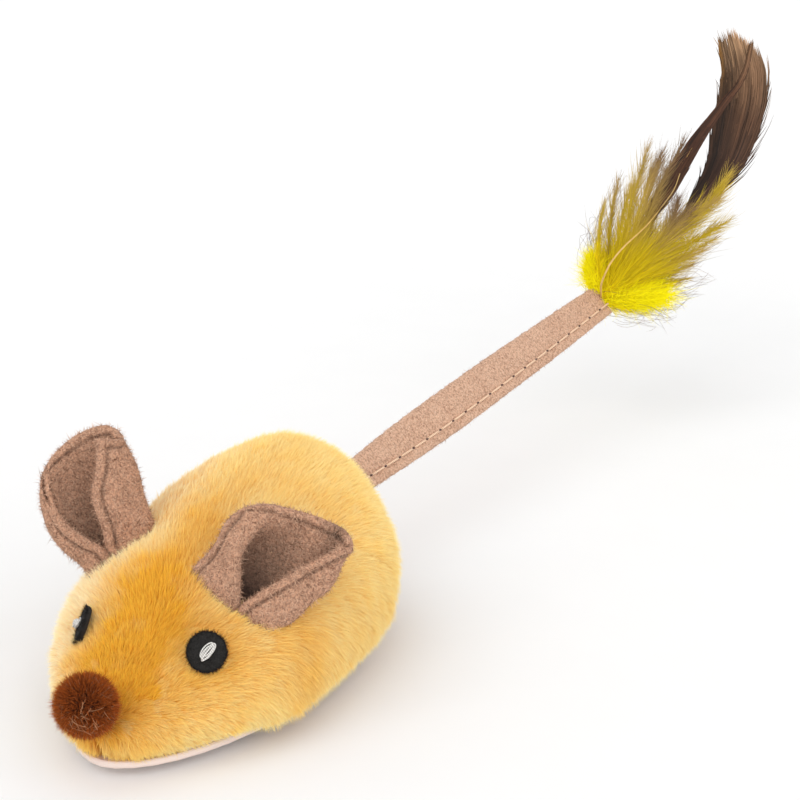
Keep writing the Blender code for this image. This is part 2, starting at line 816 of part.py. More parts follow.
def make_plume(name, size, lean, offset, peak, finish, rings):
    """A soft leaf-shaped body carried along a feather's spine. Its size is length, width and depth."""
    length, width, depth = size
    side = Vector((math.cos(TAIL_YAW), -math.sin(TAIL_YAW), 0.0))
    places = feather_spine(length, lean, rings)
    bm = bmesh.new()
    bmesh.ops.create_uvsphere(bm, u_segments=14, v_segments=rings, radius=1)
    for vert in bm.verts:
        share = min(1.0, max(0.0, (1 + vert.co.z) / 2))
        k = min(int(share * rings), rings - 1)
        part = share * rings - k
        point = places[k][0].lerp(places[k + 1][0], part)
        heading = places[k][1].lerp(places[k + 1][1], part).normalized()
        upright = side.cross(heading)
        swell = share_along(share, peak)
        turn = math.atan2(vert.co.y, vert.co.x)
        out = upright * math.cos(turn) * width / 2 + side * math.sin(turn) * depth / 2
        ring = math.hypot(vert.co.x, vert.co.y)
        parting = side * offset * share**FEATHER_PARTING_SHARE
        vert.co = point + parting + (out * swell if ring > WELD else Vector())
    return object_from(bm, name, finish)


def make_feathers():
    """The yellow fluff at the strap's tip, its quill and the two brown feathers that stand out of it."""
    size = (FLUFF_LENGTH, FLUFF_WIDTH, FLUFF_DEPTH)
    fluff = make_plume("marabou_fluff", size, 0.0, 0.0, FLUFF_SHARES, fluff_finish(), 12)
    size = [length + 2 * GAP for length in size]
    room = make_plume("fluff_room", size, 0.0, 0.0, FLUFF_SHARES, None, 12)
    size = (FEATHER_LENGTH, LONG_FEATHER_WIDTH, FEATHER_THICKNESS)
    lean = LONG_FEATHER_LEAN
    offset = FEATHER_SPREAD / 2
    long_feather = make_plume("brown_feather_long", size, lean, -offset, FEATHER_SHARES, feather_finish(), 14)
    size = (FEATHER_LENGTH, SHORT_FEATHER_WIDTH, FEATHER_THICKNESS)
    lean = SHORT_FEATHER_LEAN
    short_feather = make_plume("brown_feather_short", size, lean, offset, FEATHER_SHARES, feather_finish(), 14)
    cut(long_feather, room)
    cut(short_feather, room)
    line = [point for point, heading in feather_spine(QUILL_LENGTH, 0.0, QUILL_STATIONS)]
    tube("feather_quill", line, QUILL_RADIUS, quill_finish())
    before = line[0] - (line[1] - line[0])
    room = tube_curve("quill_room", [before] + line, QUILL_RADIUS + GAP)
    cut(fluff, mesh_of_curve(room, "quill_room"))


# Chassis shells
def half_space(name, low_z, high_z):
    reach = BODY_LENGTH
    return box(name, (-reach, -reach, low_z), (reach, reach, high_z))


def sole_outline(count=20):
    """The sole's edge: the body's plan outline at the sole's own length and width."""
    shares = [(1 - math.cos(math.pi * i / count)) / 2 for i in range(count + 1)]
    right = [(share_along(t, PLAN_SHARES) * SOLE_WIDTH / 2, (t - 0.5) * SOLE_LENGTH) for t in shares]
    return right + [(-x, y) for x, y in reversed(right[1:-1])]


def case_screw_places():
    places = (CASE_FRONT_SHARES, CASE_REAR_SHARES)
    return [(sign * across * BODY_WIDTH, along * BODY_LENGTH) for across, along in places for sign in (1, -1)]


def plate_screw_places():
    """One boss under each gearbox plate's rear foot."""
    return [(sign * (PLATE_X - FOOT_REACH / 2), PLATE_REAR - FOOT_LENGTH / 2) for sign in (1, -1)]


def board_post_places():
    return [(sign * BOARD_POST_X, y) for y in (BOARD_POST_FRONT, BOARD_POST_REAR) for sign in (1, -1)]


def add_base_bosses(base):
    well_outer = CASTER_WELL_RADIUS + CASTER_WALL
    foot = FLOOR_TOP - GAP
    roof = CASTER_ROOF + CASTER_WALL
    join(base, post("well_body", well_outer, 0, CASTER_Y, foot, roof, segments=32))
    for i, (x, y) in enumerate(case_screw_places()):
        radius = CASE_POST_RADIUS + CASTER_WALL / 2
        join(base, post(f"case_boss_{i}", radius, x, y, foot, CASE_BOSS_HEIGHT))
    for i, (x, y) in enumerate(plate_screw_places()):
        join(base, post(f"plate_boss_{i}", PLATE_BOSS_RADIUS, x, y, foot, PLATE_BOSS_TOP))
    for i, (x, y) in enumerate(board_post_places()):
        join(base, post(f"board_post_{i}", BOARD_POST_RADIUS, x, y, foot, BOARD_BOTTOM - GAP))


def cut_wheel_slots(base):
    reach = math.sqrt(WHEEL_RADIUS**2 - (AXLE_Z - FLOOR_TOP) ** 2) + WHEEL_CLEARANCE
    for sign in (1, -1):
        inner = sign * (WHEEL_X - GAP)
        outer = sign * (WHEEL_OUTER_X + GAP)
        low = (min(inner, outer), AXLE_Y - reach, SOLE_BOTTOM - OVERRUN)
        high = (max(inner, outer), AXLE_Y + reach, AXLE_Z)
        cut(base, box(f"wheel_slot_{sign}", low, high))


def cut_base_holes(base):
    below = SOLE_BOTTOM - OVERRUN
    cut(base, post("well_room", CASTER_WELL_RADIUS, 0, CASTER_Y, below, CASTER_ROOF, segments=32))
    stem_hole = FORK_STEM_RADIUS + RUNNING_GAP
    cut(base, post("stem_hole", stem_hole, 0, CASTER_Y, CASTER_ROOF - OVERRUN, CASTER_ROOF + OVERRUN))
    seat = SOLE_BOTTOM + CASE_HEAD_HEIGHT + GAP
    hole = CASE_SCREW_RADIUS + RUNNING_GAP
    for i, (x, y) in enumerate(case_screw_places()):
        cut(base, post(f"head_room_{i}", CASE_HEAD_RADIUS + GAP, x, y, below, seat))
        cut(base, post(f"case_hole_{i}", hole, x, y, below, CASE_BOSS_HEIGHT + OVERRUN))
    pilot = PLATE_SCREW_RADIUS + RUNNING_GAP
    for i, (x, y) in enumerate(plate_screw_places()):
        cut(base, post(f"plate_pilot_{i}", pilot, x, y, FLOOR_TOP, PLATE_BOSS_TOP + OVERRUN))
    pilot = BOARD_SCREW_RADIUS + RUNNING_GAP
    for i, (x, y) in enumerate(board_post_places()[:2]):
        cut(base, post(f"board_pilot_{i}", pilot, x, y, FLOOR_TOP, BOARD_BOTTOM + OVERRUN, segments=12))
    half = (KNOB_SIDE + KNOB_TRAVEL) / 2 + GAP
    across = KNOB_SIDE / 2 + GAP
    above = FLOOR_TOP + GAP
    cut(base, box("knob_slot", (-half, SWITCH_Y - across, below), (half, SWITCH_Y + across, above)))
    cut(base, post("led_hole", LED_RADIUS + GAP, LED_X, LED_Y, below, above))
    half = LABEL_WIDTH / 2
    cut(base, box("label_recess", (-half, -LABEL_LENGTH / 2, below), (half, LABEL_LENGTH / 2, 0)))
    half = SOCKET_WIDTH / 2 + GAP
    low = (-half, BOARD_REAR - SOCKET_LENGTH, PLUSH_FLOOR + GAP)
    cut(base, box("socket_window", low, (half, BODY_LENGTH / 2, BOARD_BOTTOM)))


def make_base_shell():
    """The tray of the chassis with its sole, whose edge shows below the plush."""
    base = mouse_form("base_shell", SHELL_INSET, SOLE_BOTTOM, SHELL_FOOT_SHARES, shell_finish())
    cut(base, half_space("above_seam", SEAM_HEIGHT, BODY_HEIGHT + OVERRUN))
    cut(base, mouse_form("tray_room", CAVITY_INSET, FLOOR_TOP, SHELL_FOOT_SHARES))
    sole = flat_plate("sole", [sole_outline()], WALL)
    sole.location = (0, 0, SOLE_BOTTOM + WALL / 2)
    join(base, sole)
    add_base_bosses(base)
    cut_wheel_slots(base)
    cut_base_holes(base)
    return base


def make_top_shell():
    """The dome that carries the plush, with four posts down to the base's bosses."""
    dome = mouse_form("top_shell", SHELL_INSET, SOLE_BOTTOM, SHELL_FOOT_SHARES, shell_finish())
    cut(dome, mouse_form("dome_room", CAVITY_INSET, FLOOR_TOP, SHELL_FOOT_SHARES))
    cut(dome, half_space("below_seam", SOLE_BOTTOM - OVERRUN, SEAM_HEIGHT + GAP))
    for i, (x, y) in enumerate(case_screw_places()):
        start = CASE_BOSS_HEIGHT + GAP
        near = roof_height(abs(x) + CASE_POST_RADIUS, y, CAVITY_INSET)
        top = (near + roof_height(abs(x), y, CAVITY_INSET)) / 2
        join(dome, post(f"case_post_{i}", CASE_POST_RADIUS, x, y, start, top))
        hole = CASE_SCREW_RADIUS + RUNNING_GAP
        depth = SOLE_BOTTOM + CASE_HEAD_HEIGHT + CASE_SCREW_LENGTH + WALL
        cut(dome, post(f"post_hole_{i}", hole, x, y, start - OVERRUN, depth))
    return dome


def screw(name, x, y, seat, direction, shank_size, head_size):
    """A slotted screw: its head's underside is at seat, and its shank goes towards direction."""
    radius, length = shank_size
    head_radius, head_height = head_size
    face = seat - direction * head_height
    depth = head_height / 3
    head = post(name, head_radius, x, y, face, seat, steel_finish())
    middle = seat - direction * head_height / 2
    join(head, post(name + "_shank", radius, x, y, middle, seat + direction * length, segments=12))
    low = (x - head_radius * 2, y - radius / 3, face - depth)
    high = (x + head_radius * 2, y + radius / 3, face + depth)
    return cut(head, box(name + "_slot", low, high))


def make_case_screws():
    seat = SOLE_BOTTOM + CASE_HEAD_HEIGHT
    shank = (CASE_SCREW_RADIUS, CASE_SCREW_LENGTH)
    head = (CASE_HEAD_RADIUS, CASE_HEAD_HEIGHT - GAP)
    for i, (x, y) in enumerate(case_screw_places()):
        screw(f"case_screw_{i + 1}", x, y, seat, 1, shank, head)


# Gears
def gear_outline(teeth, tooth_at):
    """A ring of straight-sided teeth, with the middle of one of them at the angle tooth_at."""
    pitch = MODULE * teeth / 2
    tip = pitch + MODULE * TOOTH_TIP_SHARE
    root = pitch - MODULE * TOOTH_ROOT_SHARE
    step = math.tau / teeth
    wide, narrow = (share * step / 2 for share in TOOTH_WIDTH_SHARES)
    outline = []
    for i in range(teeth):
        centre = tooth_at + i * step
        for radius, turn in ((root, -wide), (tip, -narrow), (tip, narrow), (root, wide)):
            outline.append((radius * math.cos(centre + turn), radius * math.sin(centre + turn)))
    return outline


def gear(name, teeth, tooth_at, bore, centre, sign, width=GEAR_WIDTH, finish=None):
    """A gear with its bore, whose inner face is at centre's distance from the toy's middle."""
    plate = flat_plate(name, [gear_outline(teeth, tooth_at), circle(bore, BORE_SEGMENTS)], width, finish)
    x, y, z = centre
    return facing_x(plate, (sign * (x + width / 2), y, z))


def make_drive(side_name, sign):
    """One side's pinion on the motor, the double gear between, the wheel's gear, and their shafts."""
    half_step = math.pi / SMALL_TEETH
    white = gear_finish()
    steel = steel_finish()
    motor_bore = MOTOR_SHAFT_RADIUS + RUNNING_GAP
    idler_bore = IDLER_SHAFT_RADIUS + RUNNING_GAP
    axle_bore = AXLE_RADIUS + RUNNING_GAP
    centre = (GEAR_A_X, MOTOR_Y, MOTOR_Z)
    turn = MOTOR_DIRECTION + math.pi + half_step
    gear("motor_pinion_" + side_name, SMALL_TEETH, turn, motor_bore, centre, sign, finish=white)
    centre = (GEAR_A_X, IDLER_Y, IDLER_Z)
    turn = MOTOR_DIRECTION
    idler = gear("idler_gear_" + side_name, IDLER_TEETH, turn, idler_bore, centre, sign, finish=white)
    centre = (GEAR_B_X, IDLER_Y, IDLER_Z)
    turn = IDLER_DIRECTION + math.pi + half_step
    join(idler, gear("small_gear_" + side_name, SMALL_TEETH, turn, idler_bore, centre, sign, GEAR_WIDTH + GAP))
    centre = (GEAR_B_X + GAP, AXLE_Y, AXLE_Z)
    gear("wheel_gear_" + side_name, WHEEL_TEETH, IDLER_DIRECTION, axle_bore, centre, sign, finish=white)
    inner = MOTOR_FACE_X - MOTOR_SHAFT_DEPTH + GAP
    outer = GEAR_A_X + GEAR_WIDTH + GAP
    radius = MOTOR_SHAFT_RADIUS
    bar("motor_shaft_" + side_name, radius, sign, inner, outer, MOTOR_Y, MOTOR_Z, steel, BORE_SEGMENTS)
    inner = PLATE_X - IDLER_BOSS_LENGTH
    outer = GEAR_B_X + GEAR_WIDTH + GAP
    radius = IDLER_SHAFT_RADIUS
    bar("idler_shaft_" + side_name, radius, sign, inner, outer, IDLER_Y, IDLER_Z, steel, BORE_SEGMENTS)
    inner = PLATE_X - AXLE_BOSS_LENGTH - GAP
    bar("axle_" + side_name, AXLE_RADIUS, sign, inner, WHEEL_OUTER_X - GAP, AXLE_Y, AXLE_Z, steel)


def make_motor(side_name, sign):
    """A small can motor with two flats, its front bearing boss and the bore that its shaft turns in."""
    bm = bmesh.new()
    bmesh.ops.create_cone(
        bm, cap_ends=True, segments=28, radius1=MOTOR_RADIUS, radius2=MOTOR_RADIUS, depth=MOTOR_LENGTH
    )
    for vert in bm.verts:
        vert.co.y = max(-MOTOR_HALF_HEIGHT, min(MOTOR_HALF_HEIGHT, vert.co.y))
    can = object_from(bm, "motor_" + side_name, steel_finish())
    facing_x(can, (sign * (MOTOR_INNER_X + MOTOR_LENGTH / 2), MOTOR_Y, MOTOR_Z))
    inner = MOTOR_FACE_X - OVERRUN
    outer = MOTOR_FACE_X + MOTOR_BOSS_LENGTH
    join(can, bar("motor_boss_" + side_name, MOTOR_BOSS_RADIUS, sign, inner, outer, MOTOR_Y, MOTOR_Z))
    inner = MOTOR_FACE_X - MOTOR_SHAFT_DEPTH
    bore = MOTOR_SHAFT_RADIUS + RUNNING_GAP
    outer += OVERRUN
    cut(can, bar("motor_bore_" + side_name, bore, sign, inner, outer, MOTOR_Y, MOTOR_Z, None, BORE_SEGMENTS))


def make_gearbox_plate(side_name, sign):
    """An upright plate with bosses for axle and idler shaft, a saddle under the motor and a screwed foot."""
    front = MOTOR_Y - MOTOR_RADIUS
    rear = PLATE_REAR
    top = IDLER_Z + PLATE_MARGIN
    shoulder = AXLE_Z + PLATE_MARGIN
    edge = [(front, PLATE_BOTTOM), (rear, PLATE_BOTTOM), (rear, shoulder)]
    edge += [(IDLER_Y + PLATE_MARGIN, top), (front, top)]
    plate = flat_plate("gearbox_plate_" + side_name, [edge], PLATE_THICKNESS, wheel_finish())
    middle = PLATE_X + PLATE_THICKNESS / 2
    facing_x(plate, (sign * middle, 0, 0))

    def boss(label, radius, length, y, z):
        join(plate, bar(f"{label}_boss_{side_name}", radius, sign, PLATE_X - length, middle, y, z))

    def slab(label, inner, low_y, high_y, low_z, high_z):
        low_x, high_x = sorted((sign * inner, sign * middle))
        join(plate, box(f"{label}_{side_name}", (low_x, low_y, low_z), (high_x, high_y, high_z)))

    def bore(label, radius, length, y, z):
        inner = PLATE_X - length - OVERRUN
        outer = PLATE_X + PLATE_THICKNESS + OVERRUN
        cut(plate, bar(f"{label}_bore_{side_name}", radius, sign, inner, outer, y, z))

    boss("axle", AXLE_BOSS_RADIUS, AXLE_BOSS_LENGTH, AXLE_Y, AXLE_Z)
    boss("idler", IDLER_BOSS_RADIUS, IDLER_BOSS_LENGTH, IDLER_Y, IDLER_Z)
    saddle_top = MOTOR_Z - MOTOR_HALF_HEIGHT - GAP
    reach = MOTOR_RADIUS / 2
    inner = MOTOR_INNER_X + GAP * 2
    slab("saddle", inner, MOTOR_Y - reach, MOTOR_Y + reach, saddle_top - SADDLE_THICKNESS, saddle_top)
    foot_top = PLATE_BOTTOM + FOOT_THICKNESS
    slab("foot", PLATE_X - FOOT_REACH, rear - FOOT_LENGTH, rear, PLATE_BOTTOM, foot_top)
    bore("axle", AXLE_RADIUS + RUNNING_GAP, AXLE_BOSS_LENGTH, AXLE_Y, AXLE_Z)
    bore("idler", IDLER_SHAFT_RADIUS + RUNNING_GAP, IDLER_BOSS_LENGTH, IDLER_Y, IDLER_Z)
    bore("motor", MOTOR_BOSS_RADIUS + GAP / 2, PLATE_THICKNESS, MOTOR_Y, MOTOR_Z)
    x, y = plate_screw_places()[0 if sign > 0 else 1]
    hole = PLATE_SCREW_RADIUS + RUNNING_GAP
    cut(plate, post(f"foot_hole_{side_name}", hole, x, y, PLATE_BOTTOM - OVERRUN, foot_top + OVERRUN))
    shank = (PLATE_SCREW_RADIUS, PLATE_SCREW_LENGTH)
    head = (PLATE_HEAD_RADIUS, PLATE_HEAD_HEIGHT)
    screw("plate_screw_" + side_name, x, y, foot_top + GAP, -1, shank, head)


def make_wheel(side_name, sign):
    """A spoked plastic wheel and the rubber tyre stretched over its rim."""
    rim = WHEEL_RADIUS - TYRE_DEPTH
    disc = bar("wheel_" + side_name, rim, sign, WHEEL_X, WHEEL_OUTER_X, AXLE_Y, AXLE_Z, wheel_finish(), 28)
    inner = WHEEL_X - OVERRUN
    outer = WHEEL_OUTER_X + OVERRUN
    cut(disc, bar("hub_bore_" + side_name, AXLE_RADIUS + RUNNING_GAP, sign, inner, outer, AXLE_Y, AXLE_Z))
    web = (rim + HUB_RADIUS) / 2
    opening = (rim - HUB_RADIUS) * WHEEL_HOLE_SHARE
    for i in range(WHEEL_HOLES):
        turn = math.tau * i / WHEEL_HOLES
        y = AXLE_Y + web * math.cos(turn)
        z = AXLE_Z + web * math.sin(turn)
        cut(disc, bar(f"wheel_hole_{side_name}_{i}", opening, sign, inner, outer, y, z, None, BORE_SEGMENTS))
    rubber = rubber_finish()
    tyre = bar("tyre_" + side_name, WHEEL_RADIUS, sign, WHEEL_X, WHEEL_OUTER_X, AXLE_Y, AXLE_Z, rubber, 32)
    rounded(tyre, TYRE_DEPTH / 3, 1)
    cut(tyre, bar("tyre_bore_" + side_name, rim + GAP, sign, inner, outer, AXLE_Y, AXLE_Z, None, 28))


# Caster
def make_caster():
    """A small wheel under the nose in a fork that swivels in the base's well."""
    y = CASTER_Y + CASTER_TRAIL
    z = CASTER_AXLE_Z
    crown_low = z + CASTER_RADIUS + GAP
    crown_high = CASTER_ROOF - GAP
    half = CASTER_WIDTH / 2 + GAP
    reach = half + FORK_THICKNESS
    black = wheel_finish()
    crown = CASTER_WELL_RADIUS - OVERRUN
    fork = post("caster_fork", crown, 0, CASTER_Y, crown_low, crown_high, black, 20)
    for sign in (1, -1):
        low_x, high_x = sorted((sign * half, sign * reach))
        low = (low_x, y - CASTER_RADIUS / 2, z - CASTER_PIN_RADIUS * 2)
        high = (high_x, y + CASTER_RADIUS / 2, crown_high - GAP)
        join(fork, rounded(box(f"fork_cheek_{sign}", low, high), GAP, 1))
    head_start = CASTER_ROOF + CASTER_WALL + GAP
    head_end = head_start + FORK_HEAD_HEIGHT
    join(fork, post("fork_stem", FORK_STEM_RADIUS, 0, CASTER_Y, crown_high - GAP, head_start + GAP))
    wide = FORK_STEM_RADIUS + FORK_HEAD_GROWTH
    narrow = FORK_STEM_RADIUS - FORK_HEAD_GROWTH / 2
    join(fork, post("fork_head", wide, 0, CASTER_Y, head_start, head_end, None, 20, narrow))
    bore = CASTER_PIN_RADIUS + RUNNING_GAP
    cut(fork, bar("pin_hole", bore, 1, -reach - OVERRUN, reach + OVERRUN, y, z))
    bar("caster_pin", CASTER_PIN_RADIUS, 1, -reach, reach, y, z, steel_finish(), BORE_SEGMENTS)
    wheel = bar("caster_wheel", CASTER_RADIUS, 1, -CASTER_WIDTH / 2, CASTER_WIDTH / 2, y, z, black, 24)
    rounded(wheel, CASTER_WIDTH / 5, 1)
    cut(wheel, bar("caster_bore", bore, 1, -half - OVERRUN, half + OVERRUN, y, z))


# Battery and electronics
def make_battery():
    half = BATTERY_WIDTH / 2
    low = (-half, BATTERY_Y - BATTERY_LENGTH / 2, BATTERY_BOTTOM)
    high = (half, BATTERY_Y + BATTERY_LENGTH / 2, BATTERY_BOTTOM + BATTERY_HEIGHT)
    rounded(box("battery", low, high, battery_finish()), BATTERY_ROUNDING)
    low = (-half + GAP, MOTOR_Y - MOTOR_RADIUS / 2, PAD_BOTTOM)
    high = (half - GAP, MOTOR_Y + MOTOR_RADIUS / 2, PAD_BOTTOM + PAD_THICKNESS)
    box("battery_pad", low, high, pad_finish())


def make_board():
    outline = [
        (-BOARD_HALF_WIDTH, BOARD_FRONT),
        (BOARD_HALF_WIDTH, BOARD_FRONT),
        (BOARD_HALF_WIDTH, BOARD_SHOULDER),
        (BOARD_TAIL_HALF_WIDTH, BOARD_REAR),
        (-BOARD_TAIL_HALF_WIDTH, BOARD_REAR),
        (-BOARD_HALF_WIDTH, BOARD_SHOULDER),
    ]
    board = flat_plate("circuit_board", [outline], BOARD_THICKNESS, board_finish())
    board.location = (0, 0, BOARD_BOTTOM + BOARD_THICKNESS / 2)
    low = (-CHIP_SIDE / 2, CHIP_Y - CHIP_SIDE / 2, BOARD_TOP - GAP)
    high = (CHIP_SIDE / 2, CHIP_Y + CHIP_SIDE / 2, BOARD_TOP + CHIP_HEIGHT)
    join(board, box("chip", low, high))
    hole = BOARD_SCREW_RADIUS + RUNNING_GAP
    shank = (BOARD_SCREW_RADIUS, BOARD_SCREW_LENGTH)
    head = (BOARD_HEAD_RADIUS, BOARD_HEAD_HEIGHT)
    for i, (x, y) in enumerate(board_post_places()[:2]):
        low, high = BOARD_BOTTOM - OVERRUN, BOARD_TOP + OVERRUN
        cut(board, post(f"board_hole_{i}", hole, x, y, low, high, None, BORE_SEGMENTS))
        screw(f"board_screw_{i + 1}", x, y, BOARD_TOP + GAP, -1, shank, head)


def make_socket():
    """The charging socket: a thin steel mouth with a tongue inside, under the board's rear edge."""
    half = SOCKET_WIDTH / 2
    top = BOARD_BOTTOM - GAP
    low = (-half, SOCKET_FRONT, top - SOCKET_HEIGHT)
    body = box("charge_socket", low, (half, SOCKET_MOUTH_Y, top), steel_finish())
    rounded(body, SOCKET_HEIGHT / 4, 1)
    wall = SOCKET_WALL
    room = box(
        "socket_room",
        (-half + wall, SOCKET_FRONT + wall * 3, top - SOCKET_HEIGHT + wall),
        (half - wall, SOCKET_MOUTH_Y + OVERRUN, top - wall),
    )
    cut(body, rounded(room, SOCKET_HEIGHT / 5, 1))
    middle = top - SOCKET_HEIGHT / 2
    tongue = box(
        "socket_tongue",
        (-TONGUE_WIDTH / 2, SOCKET_FRONT + wall, middle - TONGUE_THICKNESS / 2),
        (TONGUE_WIDTH / 2, SOCKET_MOUTH_Y - wall * 3, middle + TONGUE_THICKNESS / 2),
    )
    return join(body, tongue)


def make_switch():
    """The slide switch under the board, and its knob that reaches out through the sole."""
    top = BOARD_BOTTOM - GAP
    bottom = top - SWITCH_HEIGHT
    half = SWITCH_LENGTH / 2
    low = (-SWITCH_WIDTH / 2, SWITCH_Y - half, bottom)
    body = box("power_switch", low, (SWITCH_WIDTH / 2, SWITCH_Y + half, top), steel_finish())
    room = (KNOB_SIDE + KNOB_TRAVEL) / 2 + GAP
    across = KNOB_SIDE / 2 + GAP
    low = (-room, SWITCH_Y - across, bottom - OVERRUN)
    cut(body, box("knob_room", low, (room, SWITCH_Y + across, bottom + KNOB_SEAT + GAP)))
    left = -(KNOB_SIDE + KNOB_TRAVEL) / 2
    low = (left, SWITCH_Y - KNOB_SIDE / 2, SOLE_BOTTOM - KNOB_REACH)
    high = (left + KNOB_SIDE, SWITCH_Y + KNOB_SIDE / 2, bottom + KNOB_SEAT)
    rounded(box("switch_knob", low, high, wheel_finish()), KNOB_SIDE / 8, 1)
    post("status_led", LED_RADIUS, LED_X, LED_Y, SOLE_BOTTOM + GAP, top, led_finish())


def make_leads():
    """Two leads from the battery and one two-core lead from each motor, down to the board's front edge."""
    end_y = BOARD_FRONT + LEAD_BOARD_INSET
    end_z = BOARD_TOP + GAP
    start_y = BATTERY_Y + BATTERY_LENGTH / 2 + GAP
    start_z = BATTERY_BOTTOM + BATTERY_HEIGHT / 2
    for name, sign, finish in (("red", 1, red_lead_finish()), ("black", -1, black_lead_finish())):
        x = sign * BATTERY_LEAD_X
        knots = [(x, start_y, start_z), (x, start_y + LEAD_DIP / 2, start_z)]
        knots += [(x, end_y, start_z - LEAD_DIP / 2), (x, end_y, end_z)]
        tube("battery_lead_" + name, smooth_route(knots, 12), LEAD_RADIUS, finish)
    start_y = MOTOR_Y + MOTOR_RADIUS + GAP
    for name, sign, finish in (("left", 1, red_lead_finish()), ("right", -1, black_lead_finish())):
        x = sign * MOTOR_LEAD_X
        knots = [(x, start_y, MOTOR_Z), (x, AXLE_Y, MOTOR_Z)]
        knots += [(x, end_y - LEAD_DIP / 4, MOTOR_Z), (x, end_y, end_z)]
        tube("motor_lead_" + name, smooth_route(knots, 14), MOTOR_LEAD_RADIUS, finish)


def main():
    clear_scene()
    new_collection(PARTS)
    new_collection(CUTTERS).hide_render = True
    clearance = plush_clearance("plush_clearance")
    inside = mouse_form("plush_inside", SHELL_INSET - GAP, SOLE_BOTTOM, SHELL_FOOT_SHARES)
    make_plush_body(inside, make_tail(inside))
    make_ears(clearance)
    make_eye("left", 1, clearance)
    make_eye("right", -1, clearance)
    make_nose(clearance)
    make_feathers()
    make_base_shell()
    make_top_shell()
    make_case_screws()
    for side_name, sign in (("left", 1), ("right", -1)):
        make_drive(side_name, sign)
        make_motor(side_name, sign)
        make_gearbox_plate(side_name, sign)
        make_wheel(side_name, sign)
    make_caster()
    make_battery()
    make_board()
    make_socket()
    make_switch()
    make_leads()


main()
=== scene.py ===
"""Robotic mouse cat toy: a golden plush mouse on wheels, with suede ears, tail and feathers."""

import bmesh
import bpy
import numpy as np
from mathutils import Matrix, Vector


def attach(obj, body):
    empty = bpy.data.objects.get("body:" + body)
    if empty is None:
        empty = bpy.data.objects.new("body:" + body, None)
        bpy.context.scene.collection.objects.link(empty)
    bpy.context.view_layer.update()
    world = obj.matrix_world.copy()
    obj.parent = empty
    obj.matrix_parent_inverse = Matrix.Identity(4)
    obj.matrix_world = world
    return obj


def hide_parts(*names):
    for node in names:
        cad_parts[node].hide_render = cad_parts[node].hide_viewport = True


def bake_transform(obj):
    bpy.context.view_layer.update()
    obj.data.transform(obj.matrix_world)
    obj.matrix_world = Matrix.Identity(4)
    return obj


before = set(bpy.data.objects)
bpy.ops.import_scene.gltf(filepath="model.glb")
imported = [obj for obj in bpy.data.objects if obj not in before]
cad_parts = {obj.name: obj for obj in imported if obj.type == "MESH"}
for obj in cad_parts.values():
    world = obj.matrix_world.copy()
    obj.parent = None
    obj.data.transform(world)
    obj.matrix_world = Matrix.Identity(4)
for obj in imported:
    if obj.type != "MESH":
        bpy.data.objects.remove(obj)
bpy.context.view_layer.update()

# Camera
# The toy is seen from its front left, a little above, through a long lens. The place and the turn
# were worked out from the outline of the body.

CAMERA_PLACE = (0.21250, -0.36302, 0.21127)
CAMERA_TURN = np.radians(25.128)
CAMERA_DROP = np.radians(19.787)
CAMERA_ROLL = np.radians(0.212)
CAMERA_LENS_MM = 99.0

right = np.array([np.cos(CAMERA_TURN), np.sin(CAMERA_TURN), 0.0])
level = np.array([-np.sin(CAMERA_TURN), np.cos(CAMERA_TURN), 0.0])
up = np.sin(CAMERA_DROP) * level + np.cos(CAMERA_DROP) * np.array([0.0, 0.0, 1.0])
ahead = np.cross(up, right)
rolled_right = np.cos(CAMERA_ROLL) * right + np.sin(CAMERA_ROLL) * up
rolled_up = np.cos(CAMERA_ROLL) * up - np.sin(CAMERA_ROLL) * right
turn = Matrix([rolled_right, rolled_up, -ahead]).transposed().to_4x4()
lens = bpy.data.cameras.new("camera")
lens.sensor_width = 36.0
lens.lens = CAMERA_LENS_MM
lens.clip_start = 0.01
camera = bpy.data.objects.new("camera", lens)
camera.matrix_world = Matrix.Translation(CAMERA_PLACE) @ turn
bpy.context.scene.collection.objects.link(camera)
bpy.context.scene.camera = camera

# Moulded shells
# The sole with its tray, and the dome over it, are moulded in pale blush plastic. The edge of the
# sole is the only part of them that the plush leaves to be seen. It has a smooth rounded lip.

BODY_LENGTH = 0.100
SOLE_LENGTH = 0.0915
SOLE_WIDTH = 0.0492
SOLE_MIDDLE = 0.00035
LIP_HEIGHT = 0.00156
LIP_DEPTH = 0.0006
LIP_BULGE = 0.0003
LIP_STATIONS = 120
PLAN_SHARES = (0.55, 0.38)


class Shade:
    """A socket of a material. Sums and products of it add Math nodes, and node() adds any other."""

    def __init__(self, tree, socket=None):
        self.tree = tree
        self.socket = socket

    def node(self, kind, settings=None, inputs=None, output=0):
        """A new node of this kind: its settings are set first, then its sockets get values or links."""
        made = self.tree.nodes.new(kind)
        for name, value in (settings or {}).items():
            if name == "stops":
                set_stops(made.color_ramp, value)
            else:
                setattr(made, name, value)
        for name, value in (inputs or {}).items():
            self.feed(made.inputs[name], value)
        return Shade(self.tree, made.outputs[output])

    def feed(self, socket, value):
        if isinstance(value, Shade):
            self.tree.links.new(value.socket, socket)
        else:
            socket.default_value = value

    def maths(self, operation, first, second=0.0):
        return self.node("ShaderNodeMath", {"operation": operation}, {0: first, 1: second})

    def mixed(self, first, second):
        """The first colour where this value is 0 and the second where it is 1."""
        inputs = {0: self, 6: first, 7: second}
        return self.node("ShaderNodeMix", {"data_type": "RGBA"}, inputs, 2)

    def __add__(self, other):
        return self.maths("ADD", self, other)

    def __sub__(self, other):
        return self.maths("SUBTRACT", self, other)

    def __rsub__(self, other):
        return self.maths("SUBTRACT", other, self)

    def __mul__(self, other):
        return self.maths("MULTIPLY", self, other)

    __radd__ = __add__
    __rmul__ = __mul__


